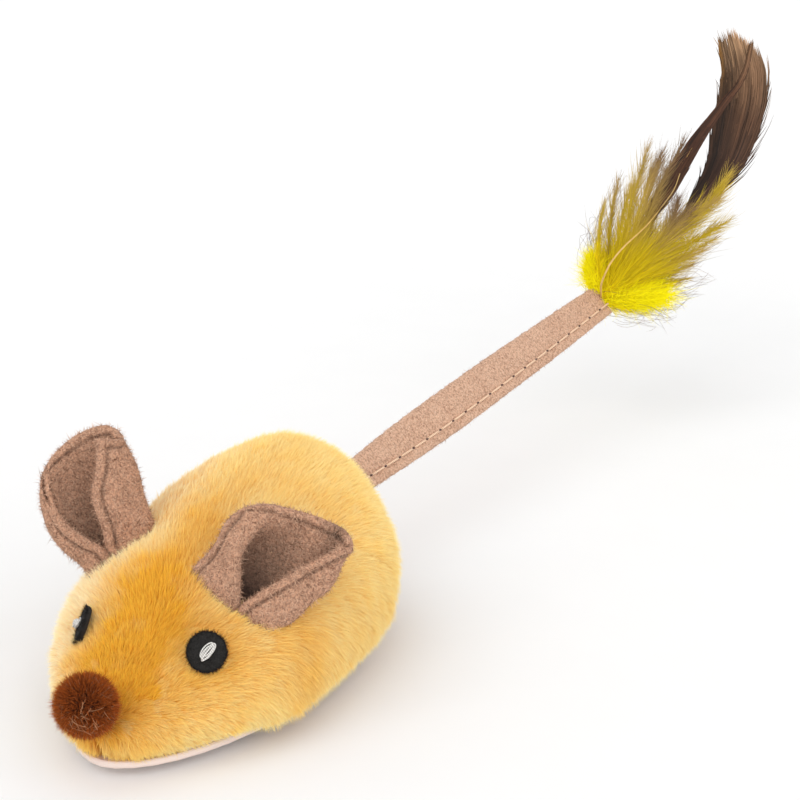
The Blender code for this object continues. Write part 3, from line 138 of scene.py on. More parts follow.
def set_stops(ramp, stops):
    """Gives a ramp its stops, each a place and a grey or a colour."""
    while len(ramp.elements) < len(stops):
        ramp.elements.new(0.5)
    for element, (place, value) in zip(ramp.elements, stops):
        element.position = place
        element.color = (value, value, value, 1.0) if isinstance(value, float) else value


def srgb(red, green, blue):
    """A colour written from 0 to 255 as a screen shows it, as the light that it stands for."""
    share = np.array([red, green, blue]) / 255
    light = np.where(share <= 0.04045, share / 12.92, ((share + 0.055) / 1.055) ** 2.4)
    return (*light.tolist(), 1.0)


def light_of(colour):
    """The three numbers of a colour, as an array."""
    return np.array(colour[:3])


def new_finish(name, roughness=0.5, **constants):
    """A material, its shader and a Shade to build with. Constants go on the shader's own sockets."""
    finish = bpy.data.materials.new(name)
    finish.use_nodes = True
    shader = finish.node_tree.nodes["Principled BSDF"]
    shader.inputs["Roughness"].default_value = roughness
    for socket, value in constants.items():
        shader.inputs[socket.replace("_", " ")].default_value = value
    return finish, shader, Shade(finish.node_tree)


def object_place(shade):
    return shade.node("ShaderNodeTexCoord", output=3)


def object_noise(shade, scale, detail=3.0):
    inputs = {"Vector": object_place(shade), "Scale": scale, "Detail": detail}
    return shade.node("ShaderNodeTexNoise", None, inputs)


def paint(shade, shader, mask, first, second):
    """The surface has the first colour where the mask is 0 and the second where it is 1."""
    shade.feed(shader.inputs["Base Color"], mask.mixed(first, second))


def roughen(shade, shader, value):
    shade.feed(shader.inputs["Roughness"], value)


def bumped(shade, shader, height, depth):
    """Height, from 0 to 1, raises the surface by up to depth metres."""
    inputs = {"Height": height, "Distance": depth, "Strength": 1.0}
    shade.feed(shader.inputs["Normal"], shade.node("ShaderNodeBump", None, inputs))


def moulded_plastic(name, colour, darker, roughness, grain_depth=0.00002):
    """Plastic with the fine spark grain of its mould and a faint cloudiness in its colour."""
    finish, shader, shade = new_finish(name)
    clouds = object_noise(shade, 90.0)
    grain = object_noise(shade, 2600.0, 2.0)
    paint(shade, shader, clouds, colour, darker)
    roughen(shade, shader, clouds * 0.12 + grain * 0.08 + (roughness - 0.1))
    bumped(shade, shader, grain, grain_depth)
    return finish


def dress(finish, *names):
    """Gives the finish to solids that show as they are."""
    for name in names:
        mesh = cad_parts[name].data
        mesh.materials.clear()
        mesh.materials.append(finish)


def hump(t, shares):
    """Rises from 0 at the nose to 1 and falls to 0 at the rear: t to one power times 1 - t to another."""
    rise, fall = shares
    peak = rise / (rise + fall)
    return t**rise * (1 - t) ** fall / (peak**rise * (1 - peak) ** fall)


def unit(vectors):
    return vectors / np.maximum(np.linalg.norm(vectors, axis=-1, keepdims=True), 1e-12)


def new_piece(name, points, faces, finish, tint=None, smooth=True):
    """A mesh object from arrays. Faces are one array of corner numbers for each count of corners."""
    mesh = bpy.data.meshes.new(name)
    faces = [part for part in faces if len(part)]
    corners = np.concatenate([part.ravel() for part in faces]).astype(np.int32)
    counts = np.concatenate([np.full(len(part), part.shape[1]) for part in faces])
    starts = np.concatenate([[0], np.cumsum(counts)[:-1]]).astype(np.int32)
    mesh.vertices.add(len(points))
    mesh.vertices.foreach_set("co", np.asarray(points, np.float32).ravel())
    mesh.loops.add(len(corners))
    mesh.loops.foreach_set("vertex_index", corners)
    mesh.polygons.add(len(counts))
    mesh.polygons.foreach_set("loop_start", starts)
    mesh.update(calc_edges=True)
    mesh.polygons.foreach_set("use_smooth", np.full(len(counts), smooth))
    if tint is not None:
        colours = np.ones((len(points), 4), np.float32)
        colours[:, :3] = tint
        layer = mesh.color_attributes.new("tint", "FLOAT_COLOR", "POINT")
        layer.data.foreach_set("color", colours.ravel())
    mesh.materials.append(finish)
    made = bpy.data.objects.new(name, mesh)
    bpy.context.scene.collection.objects.link(made)
    return made


def fitted(piece, body, slot, *nodes):
    """The piece rides on its body and replaces these solids. The slot is not used."""
    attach(piece, body)
    if nodes:
        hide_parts(*nodes)


def grid_faces(rows, columns, closed=False):
    """Corner numbers of the quads of a grid of points. A closed grid's last column meets its first."""
    numbers = np.arange(rows * columns).reshape(rows, columns)
    if closed:
        numbers = np.concatenate([numbers, numbers[:, :1]], 1)
    quads = [numbers[:-1, :-1], numbers[:-1, 1:], numbers[1:, 1:], numbers[1:, :-1]]
    return np.stack(quads, -1).reshape(-1, 4)


def sole_lip():
    """The rounded edge of the sole: half an ellipse, closed behind, carried round the sole's outline."""
    t = (1 - np.cos(np.linspace(0, np.pi, LIP_STATIONS))) / 2
    x = hump(t, PLAN_SHARES) * SOLE_WIDTH / 2
    y = (t - 0.5) * SOLE_LENGTH
    line = np.stack([np.concatenate([x, -x[-2:0:-1]]), np.concatenate([y, y[-2:0:-1]])], 1)
    travel = unit(np.roll(line, -1, axis=0) - np.roll(line, 1, axis=0))
    outward = np.stack([travel[:, 1], -travel[:, 0]], 1)
    bend = np.linspace(-np.pi / 2, np.pi / 2, 11)
    out = np.append(LIP_BULGE + LIP_DEPTH * (np.cos(bend) - 1), LIP_BULGE - 2 * LIP_DEPTH)
    rise = SOLE_MIDDLE + LIP_HEIGHT / 2 * np.append(np.sin(bend), 0.0)
    plan = line[:, None] + outward[:, None] * out[:, None]
    points = np.concatenate([plan, np.broadcast_to(rise[None, :, None], (*plan.shape[:2], 1))], 2)
    numbers = np.arange(points[..., 0].size).reshape(points.shape[:2])
    ahead_of = np.roll(numbers, -1, axis=0)
    faces = np.stack([numbers, ahead_of, np.roll(ahead_of, -1, axis=1), np.roll(numbers, -1, axis=1)], -1)
    return points.reshape(-1, 3), [faces.reshape(-1, 4)]


blush_plastic = moulded_plastic("blush_plastic", srgb(242, 226, 218), srgb(234, 214, 204), 0.42)
dress(blush_plastic, "base_shell", "top_shell")
lip = new_piece("sole_lip", *sole_lip(), blush_plastic)
fitted(lip, "mouse", "blush_plastic")

# Drive
# Each side has a can motor whose pinion turns a double gear and, through it, the wheel's own gear.
# Gears and wheels are moulded, the tyres are ribbed rubber, and shafts and screws are steel.

WHEEL_AXIS = (0.008, 0.008)
TYRE_RIBS = 44


def turned_steel(name, colour, roughness):
    """Drawn or turned steel, with fine rings and faint smears where it was handled."""
    finish, shader, shade = new_finish(name, Metallic=1.0)
    smears = object_noise(shade, 240.0)
    rings = object_noise(shade, 5200.0, 1.0)
    paint(shade, shader, smears, colour, srgb(150, 150, 152))
    roughen(shade, shader, smears * 0.2 + rings * 0.1 + (roughness - 0.12))
    bumped(shade, shader, rings, 0.000008)
    return finish


def ribbed_rubber(name):
    """Black rubber whose ribs follow the turn about the axle, with dust in the grooves."""
    finish, shader, shade = new_finish(name)
    inputs = {0: object_place(shade), 1: (0.0, *WHEEL_AXIS)}
    from_axle = shade.node("ShaderNodeVectorMath", {"operation": "SUBTRACT"}, inputs)
    split = shade.node("ShaderNodeSeparateXYZ", None, {0: from_axle}, 1)
    height = Shade(shade.tree, split.socket.node.outputs[2])
    around = shade.maths("ARCTAN2", height, split)
    rib = shade.maths("SINE", around * float(TYRE_RIBS)) * 0.5 + 0.5
    dust = object_noise(shade, 500.0)
    worn = (1 - rib) * dust
    paint(shade, shader, worn, srgb(36, 36, 37), srgb(84, 82, 79))
    roughen(shade, shader, dust * 0.15 + 0.72)
    bumped(shade, shader, rib, 0.00025)
    return finish


steel = turned_steel("bright_steel", srgb(205, 205, 206), 0.32)
nylon = moulded_plastic("white_nylon", srgb(232, 232, 226), srgb(216, 216, 208), 0.45)
black_plastic = moulded_plastic("black_plastic", srgb(44, 44, 46), srgb(34, 34, 36), 0.45)
rubber = ribbed_rubber("black_rubber")
for side in ("left", "right"):
    for kind in ("motor", "motor_shaft", "idler_shaft", "axle", "plate_screw"):
        dress(steel, f"{kind}_{side}")
    dress(nylon, f"motor_pinion_{side}", f"idler_gear_{side}", f"wheel_gear_{side}")
    dress(black_plastic, f"gearbox_plate_{side}", f"wheel_{side}")
    dress(rubber, f"tyre_{side}")
dress(steel, "case_screw_1", "case_screw_2", "case_screw_3", "case_screw_4")

# Caster
# A small black wheel runs on a steel pin in a fork that swivels in the sole, under the nose.

dress(black_plastic, "caster_fork", "caster_wheel")
dress(steel, "caster_pin")

# Battery and board
# A foil pouch sits on a foam pad over the motors. Its leads and the motors' run to the board, which
# carries the charging socket, the slide switch and the status light.


def foil(name):
    """Crinkled aluminium foil under a clear skin."""
    finish, shader, shade = new_finish(name, Metallic=0.7)
    crinkle = object_noise(shade, 700.0, 5.0)
    paint(shade, shader, crinkle, srgb(176, 178, 182), srgb(206, 207, 210))
    roughen(shade, shader, crinkle * 0.25 + 0.22)
    bumped(shade, shader, crinkle, 0.00012)
    return finish


def foam(name):
    """Black foam tape with open cells."""
    finish, shader, shade = new_finish(name, 0.95)
    cells = shade.node("ShaderNodeTexVoronoi", None, {"Vector": object_place(shade), "Scale": 2600.0})
    paint(shade, shader, cells, srgb(30, 30, 31), srgb(58, 58, 59))
    bumped(shade, shader, cells, 0.00015)
    return finish


def solder_mask(name):
    """Green lacquer over copper tracks, which show as paler bands."""
    finish, shader, shade = new_finish(name, Coat_Weight=0.4)
    inputs = {"Vector": object_place(shade), "Scale": 420.0, "Distortion": 1.5}
    tracks = shade.node("ShaderNodeTexWave", {"wave_type": "BANDS"}, inputs)
    band = shade.node("ShaderNodeValToRGB", {"stops": [(0.45, 0.0), (0.55, 1.0)]}, {0: tracks})
    paint(shade, shader, band, srgb(14, 92, 48), srgb(28, 122, 62))
    roughen(shade, shader, object_noise(shade, 300.0) * 0.2 + 0.3)
    bumped(shade, shader, band, 0.00003)
    return finish


dress(foil("silver_pouch"), "battery")
dress(foam("black_foam"), "battery_pad")
dress(solder_mask("green_board"), "circuit_board")
dress(steel, "board_screw_1", "board_screw_2", "charge_socket", "power_switch")
dress(black_plastic, "switch_knob")
dress(moulded_plastic("red_lens", srgb(196, 38, 30), srgb(168, 26, 22), 0.25), "status_led")
red_lead = moulded_plastic("red_insulation", srgb(190, 28, 26), srgb(168, 22, 22), 0.45)
black_lead = moulded_plastic("black_insulation", srgb(36, 36, 38), srgb(28, 28, 30), 0.45)
dress(red_lead, "battery_lead_red", "motor_lead_left")
dress(black_lead, "battery_lead_black", "motor_lead_right")

# Plush body
# A knitted backing with a long golden pile is sewn to the shape of the mouse and pulled down over
# the dome. The pile lies back from the nose and falls down the sides, in soft tufts. It is deep
# ochre at its roots and nearly cream at its tips.

BODY_WIDTH = 0.0635
BODY_HEIGHT = 0.0432
WAIST_HEIGHT = 0.008
PLUSH_FLOOR = 0.0016
CROWN_SHARES = (0.95, 0.31)
FOOT_SHARES = (0.80, 0.925)
BACKING_INSET = 0.0030
BACKING_GRID = (64, 96)
BACKING_END = np.radians(-45)
LINING_INSET = 0.0042
PILE_LENGTH = 0.0055
PILE_FLOOR = -0.0012
PILE_PIECES = 7
PILE_LIFT = 0.92
PILE_WIDTHS = (0.00011, 0.00017)
NOSE_ROOM = 0.0050
SCATTER_CELLS = 400
PILE_PER_PIECE = 54000
FLOW_START = (0.0, -0.0515, 0.0154)
TUFT_SPACING = 0.0024
ROOT_TINT = srgb(255, 186, 58)
TIP_TINT = srgb(255, 237, 168)
# A creamier tip tint for the far side of the body, as painted light.
PAINTED_LIGHT_TIP_TINT = srgb(255, 246, 214)
DEEP_ROOT_TINT = srgb(222, 138, 6)
DEEP_TIP_TINT = srgb(250, 200, 66)

rng = np.random.default_rng(20)


def mouse_surface(t, turn, inset):
    """The body's surface, drawn in by inset.

    Above the waist each section is half an ellipse. Below it the side leans in to the foot by the
    square of its drop.
    """
    half = (BODY_WIDTH / 2 - inset) * hump(t, PLAN_SHARES)
    crown = (BODY_HEIGHT - inset - WAIST_HEIGHT) * hump(t, CROWN_SHARES)
    along = (t - 0.5) * (BODY_LENGTH - 2 * inset)
    side, rise = np.cos(turn), np.sin(turn)
    drop = np.clip(np.arcsin(np.clip(-rise, 0.0, 1.0)) * 4 / np.pi, 0.0, 1.0)
    x_low = np.sign(side) * half * (1 - (1 - FOOT_SHARES[0]) * drop**2)
    x = np.where(rise >= 0, half * side, x_low)
    y = along * (1 - (1 - FOOT_SHARES[1]) * drop**2)
    z_low = WAIST_HEIGHT - (WAIST_HEIGHT - PLUSH_FLOOR) * drop
    z = np.where(rise >= 0, WAIST_HEIGHT + crown * rise, z_low)
    return np.stack([x, y, z], -1)


def surface_frame(surface, a, b):
    """Points of a surface of two parameters, and its directions along both and outwards."""
    step = 1e-4
    here = surface(a, b)
    along = unit(surface(np.clip(a + step, 0, 1), b) - surface(np.clip(a - step, 0, 1), b))
    around = unit(surface(a, b + step) - surface(a, b - step))
    return here, along, around, unit(np.cross(along, around))


def capped_faces(rows, columns):
    """Faces of a closed grid whose first and last rows are each filled by one more face."""
    ring = np.arange(columns)[None]
    return [grid_faces(rows, columns, closed=True), ring[:, ::-1], ring + (rows - 1) * columns]


def ribbons(lines, widths, faces_to, tints):
    """Flat fibres along lines of points, each ending in a tip.

    lines holds every fibre's point at each station, and widths and tints the same of its width and
    colour. The flat side is square to the line and to the way that the fibre faces.
    """
    stations, count = lines.shape[:2]
    travel = unit(np.gradient(lines, axis=0))
    half = unit(np.cross(travel, faces_to))[:-1] * widths[:-1, :, None] / 2
    edges = np.stack([lines[:-1] - half, lines[:-1] + half], 1).reshape(-1, count, 3)
    points = np.concatenate([edges, lines[-1:]]).transpose(1, 0, 2).reshape(-1, 3)
    size = 2 * stations - 1
    first = np.arange(count)[:, None] * size
    quads = [first + np.array([2 * k, 2 * k + 1, 2 * k + 3, 2 * k + 2]) for k in range(stations - 2)]
    tips = first + np.array([size - 3, size - 2, size - 1])
    tint = np.concatenate([np.repeat(tints[:-1], 2, axis=0), tints[-1:]])
    return points, [np.concatenate(quads), tips], tint.transpose(1, 0, 2).reshape(-1, 3)


def blades(roots, heads, bends, lengths, widths, faces_to, root_tint, tip_tint, shares=(0.0, 0.5)):
    """Fibres that bend one way and taper to a point.

    The middle line is the root plus length times (share times heading plus share squared times
    bend). The width shrinks with the root of 1 - share, and the tint goes from root to tip.
    """
    share = np.array([*shares, 1.0])[:, None, None]
    lines = roots + lengths[:, None] * (share * heads + share**2 * bends)
    tints = root_tint * (1 - share) + tip_tint * share
    return ribbons(lines, widths * np.sqrt(1 - share[..., 0]), faces_to, tints)


def fibre_finish(name, roughness, sheen, glow=0.0):
    """Fibres take the tint of their own mesh, with a little glint along them.

    The glow stands for the light that fine pale fibres pass on to each other.
    """
    constants = {"Sheen_Weight": sheen, "Sheen_Roughness": 0.5, "Specular_IOR_Level": 0.25}
    finish, shader, shade = new_finish(name, roughness, Emission_Strength=glow, **constants)
    tint = shade.node("ShaderNodeAttribute", {"attribute_name": "tint"})
    shade.feed(shader.inputs["Base Color"], tint)
    shade.feed(shader.inputs["Emission Color"], tint)
    return finish


def knitted_backing(name):
    """The backing of the plush: fine ribs of knit, ochre from the roots that cover it."""
    finish, shader, shade = new_finish(name, 0.95)
    inputs = {"Vector": object_place(shade), "Scale": 700.0}
    ribs = shade.node("ShaderNodeTexWave", {"bands_direction": "Y"}, inputs)
    clouds = object_noise(shade, 160.0)
    paint(shade, shader, clouds, srgb(226, 150, 24), srgb(240, 176, 56))
    bumped(shade, shader, ribs, 0.0002)
    return finish


def waves(points, scale, seed):
    """A smooth noise from -1 to 1: the mean of sines along eight random directions."""
    picks = np.random.default_rng(seed)
    ways = unit(picks.normal(size=(8, 3))) * scale * picks.uniform(0.6, 1.6, (8, 1))
    return np.sin(points @ ways.T + picks.uniform(0, 6.28, 8)).mean(-1) * 2


def backing_mesh():
    """The backing's outer face and its lining, joined round the lower edge."""
    rows, columns = BACKING_GRID
    t = (1 - np.cos(np.linspace(0, np.pi, rows))) / 2
    turn = np.linspace(np.pi - BACKING_END, BACKING_END, columns)
    outer = mouse_surface(t[:, None], turn[None, :], BACKING_INSET)
    inner = mouse_surface(t[:, None], turn[None, ::-1], LINING_INSET)
    loop = np.concatenate([outer, inner], 1)
    return loop.reshape(-1, 3), grid_faces(rows, 2 * columns, closed=True)


points, faces = backing_mesh()
backing = new_piece("plush_backing", points, [faces], knitted_backing("plush_backing"))
poles = bmesh.new()
poles.from_mesh(backing.data)
bmesh.ops.remove_doubles(poles, verts=poles.verts, dist=1e-6)
poles.to_mesh(backing.data)
poles.free()


def scattered(surface, count, low, high):
    """Places spread evenly over a surface: cells of a fine grid are drawn by their area."""
    a = np.linspace(0.0005, 0.9995, SCATTER_CELLS + 1)
    b = np.linspace(low, high, SCATTER_CELLS + 1)
    grid = surface(a[:, None], b[None, :])
    corner = grid[:-1, :-1]
    area = np.linalg.norm(np.cross(grid[1:, :-1] - corner, grid[:-1, 1:] - corner), axis=-1)
    chosen = rng.choice(area.size, count, p=area.ravel() / area.sum())
    row, column = np.divmod(chosen, SCATTER_CELLS)
    row = a[row] + rng.random(count) * (a[1] - a[0])
    column = b[column] + rng.random(count) * (b[1] - b[0])
    return row, column


def backing_surface(t, turn):
    return mouse_surface(t, turn, BACKING_INSET)


def pile_flow(here, along, outward):
    """The way the pile lies: back along the body on top, down over the sides, and away from the nose."""
    down = np.array([0.0, 0.0, -1.0])
    down = unit(down - outward * (outward @ down)[:, None])
    from_nose = here - np.array(FLOW_START)
    from_nose = unit(from_nose - outward * (from_nose * outward).sum(1)[:, None])
    face = np.clip((-0.010 - here[:, 1:2]) / 0.018, 0, 1)
    flank = np.clip(np.abs(outward[:, :1]) * 1.25 - 0.15, 0, 1)
    flank = flank * np.clip((0.036 - here[:, 2:]) / 0.02, 0.25, 1)
    low = np.clip((0.014 - here[:, 2:]) / 0.012, 0, 1)
    fall = np.clip(flank * 0.75 + low, 0, 1) * (1 - 0.6 * face)
    swirl = waves(here, 170.0, 3)[:, None] * 0.35
    across = np.cross(outward, along)
    back = along * (1 - face) + from_nose * face
    return unit(back * (1 - fall) + down * fall + across * swirl)


def distance_to(here, spot):
    return np.linalg.norm(here - np.array(spot), axis=1)


def pile_depth(here):
    """How deep the ochre of a place is, from 0 to 1: most on forehead, spine and face. The far cheek gets
    painted light.
    """
    x, y, z = here.T
    spine = np.exp(-((x / 0.0062) ** 2)) * np.clip((0.022 - y) / 0.03, 0, 1)
    face = np.clip((-0.012 - y) / 0.016, 0, 1) * np.clip((z - 0.004) / 0.01, 0, 1)
    # Painted light: the far cheek is made paler, as if lit from that side.
    far_cheek_light = np.clip((-x - 0.008) / 0.008, 0, 1)
    by_ear = np.exp(-((distance_to(here, (0.022, -0.010, 0.017)) / 0.009) ** 2))
    deep = 0.55 * spine + 0.62 * face + 0.45 * by_ear - 0.60 * far_cheek_light
    return np.clip(deep + 0.20 * waves(here, 260.0, 5) + 0.06, 0, 1)


EYE_SPOTS = [((0.0141, -0.0287, 0.0198), 0.0041), ((-0.0146, -0.0290, 0.0190), 0.0024)]
EAR_SPOTS = [((0.0132, -0.0136, 0.0262), 0.0047), ((-0.0170, -0.0100, 0.0255), 0.0030)]
NOSE_SPOT = (-0.0003, -0.0496, 0.0147)
TUFT_NUMBERS = 65536
tuft_middles = rng.random((TUFT_NUMBERS, 3))
tuft_leans = rng.normal(0, 1, (TUFT_NUMBERS, 3))
tuft_tones = rng.normal(0, 1, TUFT_NUMBERS)


def tuft_of(here):
    """The tuft that each place belongs to: its middle and its number.

    Space is cut in cells with a middle at random in each, and the nearest of the 27 middles round a
    place is its tuft's.
    """
    steps = np.stack(np.meshgrid([-1, 0, 1], [-1, 0, 1], [-1, 0, 1], indexing="ij"), -1).reshape(-1, 3)
    near = np.floor(here / TUFT_SPACING).astype(np.int64)[:, None] + steps
    number = (near @ np.array([73856093, 19349663, 83492791])) % TUFT_NUMBERS
    middles = (near + tuft_middles[number]) * TUFT_SPACING
    closest = np.argmin(np.linalg.norm(middles - here[:, None], axis=2), axis=1)
    every = np.arange(len(here))
    return middles[every, closest], number[every, closest]


def pile(count):
    """Fibres of the pile. Each rises from the backing and leans and closes in with its tuft."""
    t, turn = scattered(backing_surface, count, np.radians(-44), np.radians(224))
    here, along, _, outward = surface_frame(backing_surface, t, turn)
    keep = distance_to(here, NOSE_SPOT) > NOSE_ROOM
    for spot, room in EYE_SPOTS + EAR_SPOTS:
        keep &= distance_to(here, spot) > room
    here, along, outward = here[keep], along[keep], outward[keep]
    count = len(here)
    middle, number = tuft_of(here)
    face = np.clip((-0.014 - here[:, 1]) / 0.018, 0, 1)
    lift = PILE_LIFT - 0.20 * face + 0.03 * tuft_tones[number] + rng.normal(0, 0.15, count)
    lift -= 0.40 * np.clip((0.012 - here[:, 2]) / 0.010, 0, 1)
    far_back = np.clip(-here[:, 0] / 0.010, 0, 1) * np.clip((here[:, 1] + 0.015) / 0.010, 0, 1)
    far_back = far_back * np.clip((0.045 - here[:, 1]) / 0.02, 0, 1)
    lift -= 0.50 * far_back
    low_rear = np.clip((0.020 - here[:, 2]) / 0.014, 0, 1) * np.clip((here[:, 1] + 0.015) / 0.02, 0, 1)
    lift -= 0.38 * low_rear
    short = np.clip((here[:, 1] + 0.054) / 0.034, 0.50, 1)
    short *= np.clip((here[:, 2] + 0.007) / 0.014, 0.55, 1)
    short *= (1 - 0.42 * low_rear) * (1 - 0.36 * far_back)
    chin = np.clip((-0.030 - here[:, 1]) / 0.010, 0, 1) * np.clip((0.009 - here[:, 2]) / 0.006, 0, 1)
    short *= 1 + 0.75 * chin
    for spot, room in EYE_SPOTS + EAR_SPOTS:
        close = np.clip(1.5 - distance_to(here, spot) / room * 0.75, 0, 1)
        lift -= 0.45 * close
        short *= 1 - 0.50 * close
    lengths = PILE_LENGTH * short * rng.uniform(0.72, 1.10, count) * (1 + 0.03 * tuft_tones[number])
    flow = unit(pile_flow(here, along, outward) + tuft_leans[number] * 0.07)
    heads = flow * np.cos(lift)[:, None] + outward * np.sin(lift)[:, None]
    heads = unit(heads + rng.normal(0, 0.20, (count, 3)))
    inward = middle - here
    inward -= outward * (inward * outward).sum(1)[:, None]
    closing = 0.18 + 0.16 * face[:, None]
    sag = np.array([0.0, 0.0, -0.10])
    bends = inward / lengths[:, None] * closing + flow * 0.18 - outward * 0.16 + sag
    tips = here + (heads + bends) * lengths[:, None]
    floor = PILE_FLOOR + rng.uniform(0, 0.0012, count)
    fits = np.clip((here[:, 2] - floor) / np.maximum(here[:, 2] - tips[:, 2], 1e-6), 0.12, 1)
    lengths = np.where(tips[:, 2] < floor, lengths * fits, lengths)
    depth = np.clip(pile_depth(here) + 0.10 * tuft_tones[number], 0, 1)[:, None]
    speckle = rng.normal(0, 1, (count, 1)) * (0.04 + 0.05 * face[:, None])
    tone = 1 + 0.02 * tuft_tones[number][:, None] + speckle
    root = (light_of(ROOT_TINT) * (1 - depth) + light_of(DEEP_ROOT_TINT) * depth) * tone
    # Painted light: the tips on the far side turn creamier.
    far = 0.8 * np.clip((-here[:, :1] - 0.003) / 0.012, 0, 1)
    tip = light_of(TIP_TINT) * (1 - far) + light_of(PAINTED_LIGHT_TIP_TINT) * far
    tip = (tip * (1 - depth) + light_of(DEEP_TIP_TINT) * depth) * tone
    widths = rng.uniform(*PILE_WIDTHS, count)
    faces_to = unit(outward + rng.normal(0, 0.22, (count, 3)))
    return here, heads, bends, lengths, widths, faces_to, root.clip(0, 1), tip.clip(0, 1)


pile_finish = fibre_finish("golden_pile", 0.8, 0.04, 0.035)
for number in range(PILE_PIECES):
    points, faces, tint = blades(*pile(PILE_PER_PIECE))
    fibres = new_piece(f"plush_pile_{number + 1}", points, faces, pile_finish, tint)
    fitted(fibres, "mouse", "golden_plush")
fitted(backing, "mouse", "golden_plush", "plush_body")

# Ears
# Each ear is two layers of napped suede, turned and topstitched near the edge. Its foot is folded
# and sewn into the body, which rolls the leaf into a cup.

EAR_THICKNESS = 0.0021
SEAM_TO_RIM = 0.0021
EAR_NAP_LENGTH = 0.0008
EAR_FIBRES = 24000
EAR_GRID = (70, 110)
NAP_WIDTHS = (0.00008, 0.00014)


def suede(name, colour, darker, lighter, painted_shade):
    """Napped suede: a fine mottle of darker specks and paler fibre ends over a soft grain.

    Where the mesh's own tint falls to 0 it takes the painted shade colour: painted shade in deep
    folds and under the ear's flap, and a darker line along the seams.
    """
    finish, shader, shade = new_finish(name, 0.9, Sheen_Weight=0.08, Sheen_Roughness=0.6)
    mottle = object_noise(shade, 1900.0, 6.0)
    worn = object_noise(shade, 140.0, 2.0)
    specks = object_noise(shade, 3200.0, 2.0)
    dark = shade.node("ShaderNodeValToRGB", {"stops": [(0.36, 0.0), (0.58, 1.0)]}, {0: mottle})
    pale = shade.node("ShaderNodeValToRGB", {"stops": [(0.56, 0.0), (0.68, 1.0)]}, {0: specks})
    base = dark.mixed(darker, colour)
    base = (pale * 0.7).mixed(base, lighter)
    base = (worn * 0.3).mixed(base, lighter)
    # The mask from the mesh paints shade into the ear's folds and under its flap, and darkens the seams.
    shade_and_seam_mask = shade.node("ShaderNodeAttribute", {"attribute_name": "tint"}, None, "Fac")
    paint(shade, shader, shade_and_seam_mask, painted_shade, base)
    bumped(shade, shader, mottle * 0.6 + specks * 0.4, 0.00035)
    return finish


# The last colour of each is the painted shade colour of deep folds, also used for a darker line along the
# seams.
EAR_COLOURS = srgb(198, 147, 116), srgb(124, 82, 60), srgb(228, 186, 156), srgb(52, 28, 18)
TAIL_COLOURS = srgb(212, 167, 137), srgb(150, 106, 80), srgb(244, 210, 182), srgb(112, 74, 56)
ear_suede = suede("ear_suede", *EAR_COLOURS)
tail_suede = suede("tail_suede", *TAIL_COLOURS)


def through(knots, count):
    """A smooth curve through knots along the first axis: a Catmull-Rom spline."""
    knots = np.asarray(knots, float)
    padded = np.concatenate([2 * knots[:1] - knots[1:2], knots, 2 * knots[-1:] - knots[-2:-1]])
    share = np.linspace(0, len(knots) - 1 - 1e-9, count)
    number = share.astype(int)
    s = (share - number).reshape(-1, *[1] * (knots.ndim - 1))
    a, b, c, d = (padded[number + k] for k in range(4))
    curve = 2 * b + (c - a) * s + (2 * a - 5 * b + 4 * c - d) * s**2
    return 0.5 * (curve + (3 * b - a - 3 * c + d) * s**3)


def run(points, axis):
    """Distance travelled along one axis of a grid of points, from its start."""
    steps = np.linalg.norm(np.diff(points, axis=axis), axis=-1)
    return np.insert(np.cumsum(steps, axis=axis), 0, 0, axis=axis)


def ear_mesh(pinch, sink, painted_shade, rows_of_knots):
    """A leaf folded into a cup, as a closed pillow of two layers.

    The leaf is a smooth sheet through rows of knots, from its foot to its tip and from one rim round
    the back to the other. The layers lie half a thickness to each side of it. They round off
    towards the rim and have a groove where the seam holds them together. The painted shade is the
    middle, half width and strength of a shade painted into the deep fold of the cup, and the strength
    of a shadow painted under the flap. The mask darkens the inner layer with this painted shade, and
    both layers in a line along the seam.
    """
    knots = np.array(rows_of_knots, float) / 1000
    knots = np.concatenate([knots[:1] + np.array(sink) / 1000, knots])
    rows, columns = EAR_GRID
    sheet = through(through(knots, rows).transpose(1, 0, 2), columns).transpose(1, 0, 2)
    sheet = np.array(pinch) + sheet @ np.array([right, up, -ahead])
    across, length = run(sheet, 1), run(sheet, 0)
    edge = np.minimum(np.minimum(across, across[:, -1:] - across), length[-1:] - length)
    normal = unit(np.cross(np.gradient(sheet, axis=1), np.gradient(sheet, axis=0)))
    roll = np.sqrt(1 - (1 - np.clip(edge / (EAR_THICKNESS * 0.6), 0, 1)) ** 2)
    seam = np.exp(-(((edge - SEAM_TO_RIM) / 0.00036) ** 2)) * 0.50
    uneven = 1 + 0.10 * waves(sheet, 420.0, 12)
    fat = (EAR_THICKNESS / 2 * (roll * uneven - seam)).clip(0.00005)[..., None]
    middle, half_width, fold_shade_strength, flap_shadow_strength = painted_shade
    part = np.linspace(0, 1, columns)
    rise = np.linspace(0, 1, rows)[:, None]
    # Painted shade: the inner layer darkens in the cup's deep fold, and a painted shadow lies under the
    # flap.
    fold = np.exp(-(((part - middle) / half_width) ** 4)) * np.clip(1.25 - 1.35 * rise, 0, 1)
    shaded = flap_shadow_strength * np.exp(-(((part - 0.68) / 0.055) ** 2)) * (1 - 0.5 * rise)
    inside = np.clip(1 - np.maximum(fold_shade_strength * fold, shaded) - seam, 0, 1)
    outside = np.clip(1 - seam, 0, 1)
    points = np.concatenate([sheet + normal * fat, (sheet - normal * fat)[:, ::-1]], 1)
    ring = np.arange(columns - 1)
    tip = np.stack([ring, ring + 1, 2 * columns - 2 - ring, 2 * columns - 1 - ring], 1)
    foot = tip[:, ::-1]
    shade_and_seam_mask = np.concatenate([inside, outside[:, ::-1]], 1).reshape(-1, 1)
    faces = [grid_faces(rows, 2 * columns, closed=True), foot, tip + (rows - 1) * 2 * columns]
    return points, faces, shade_and_seam_mask


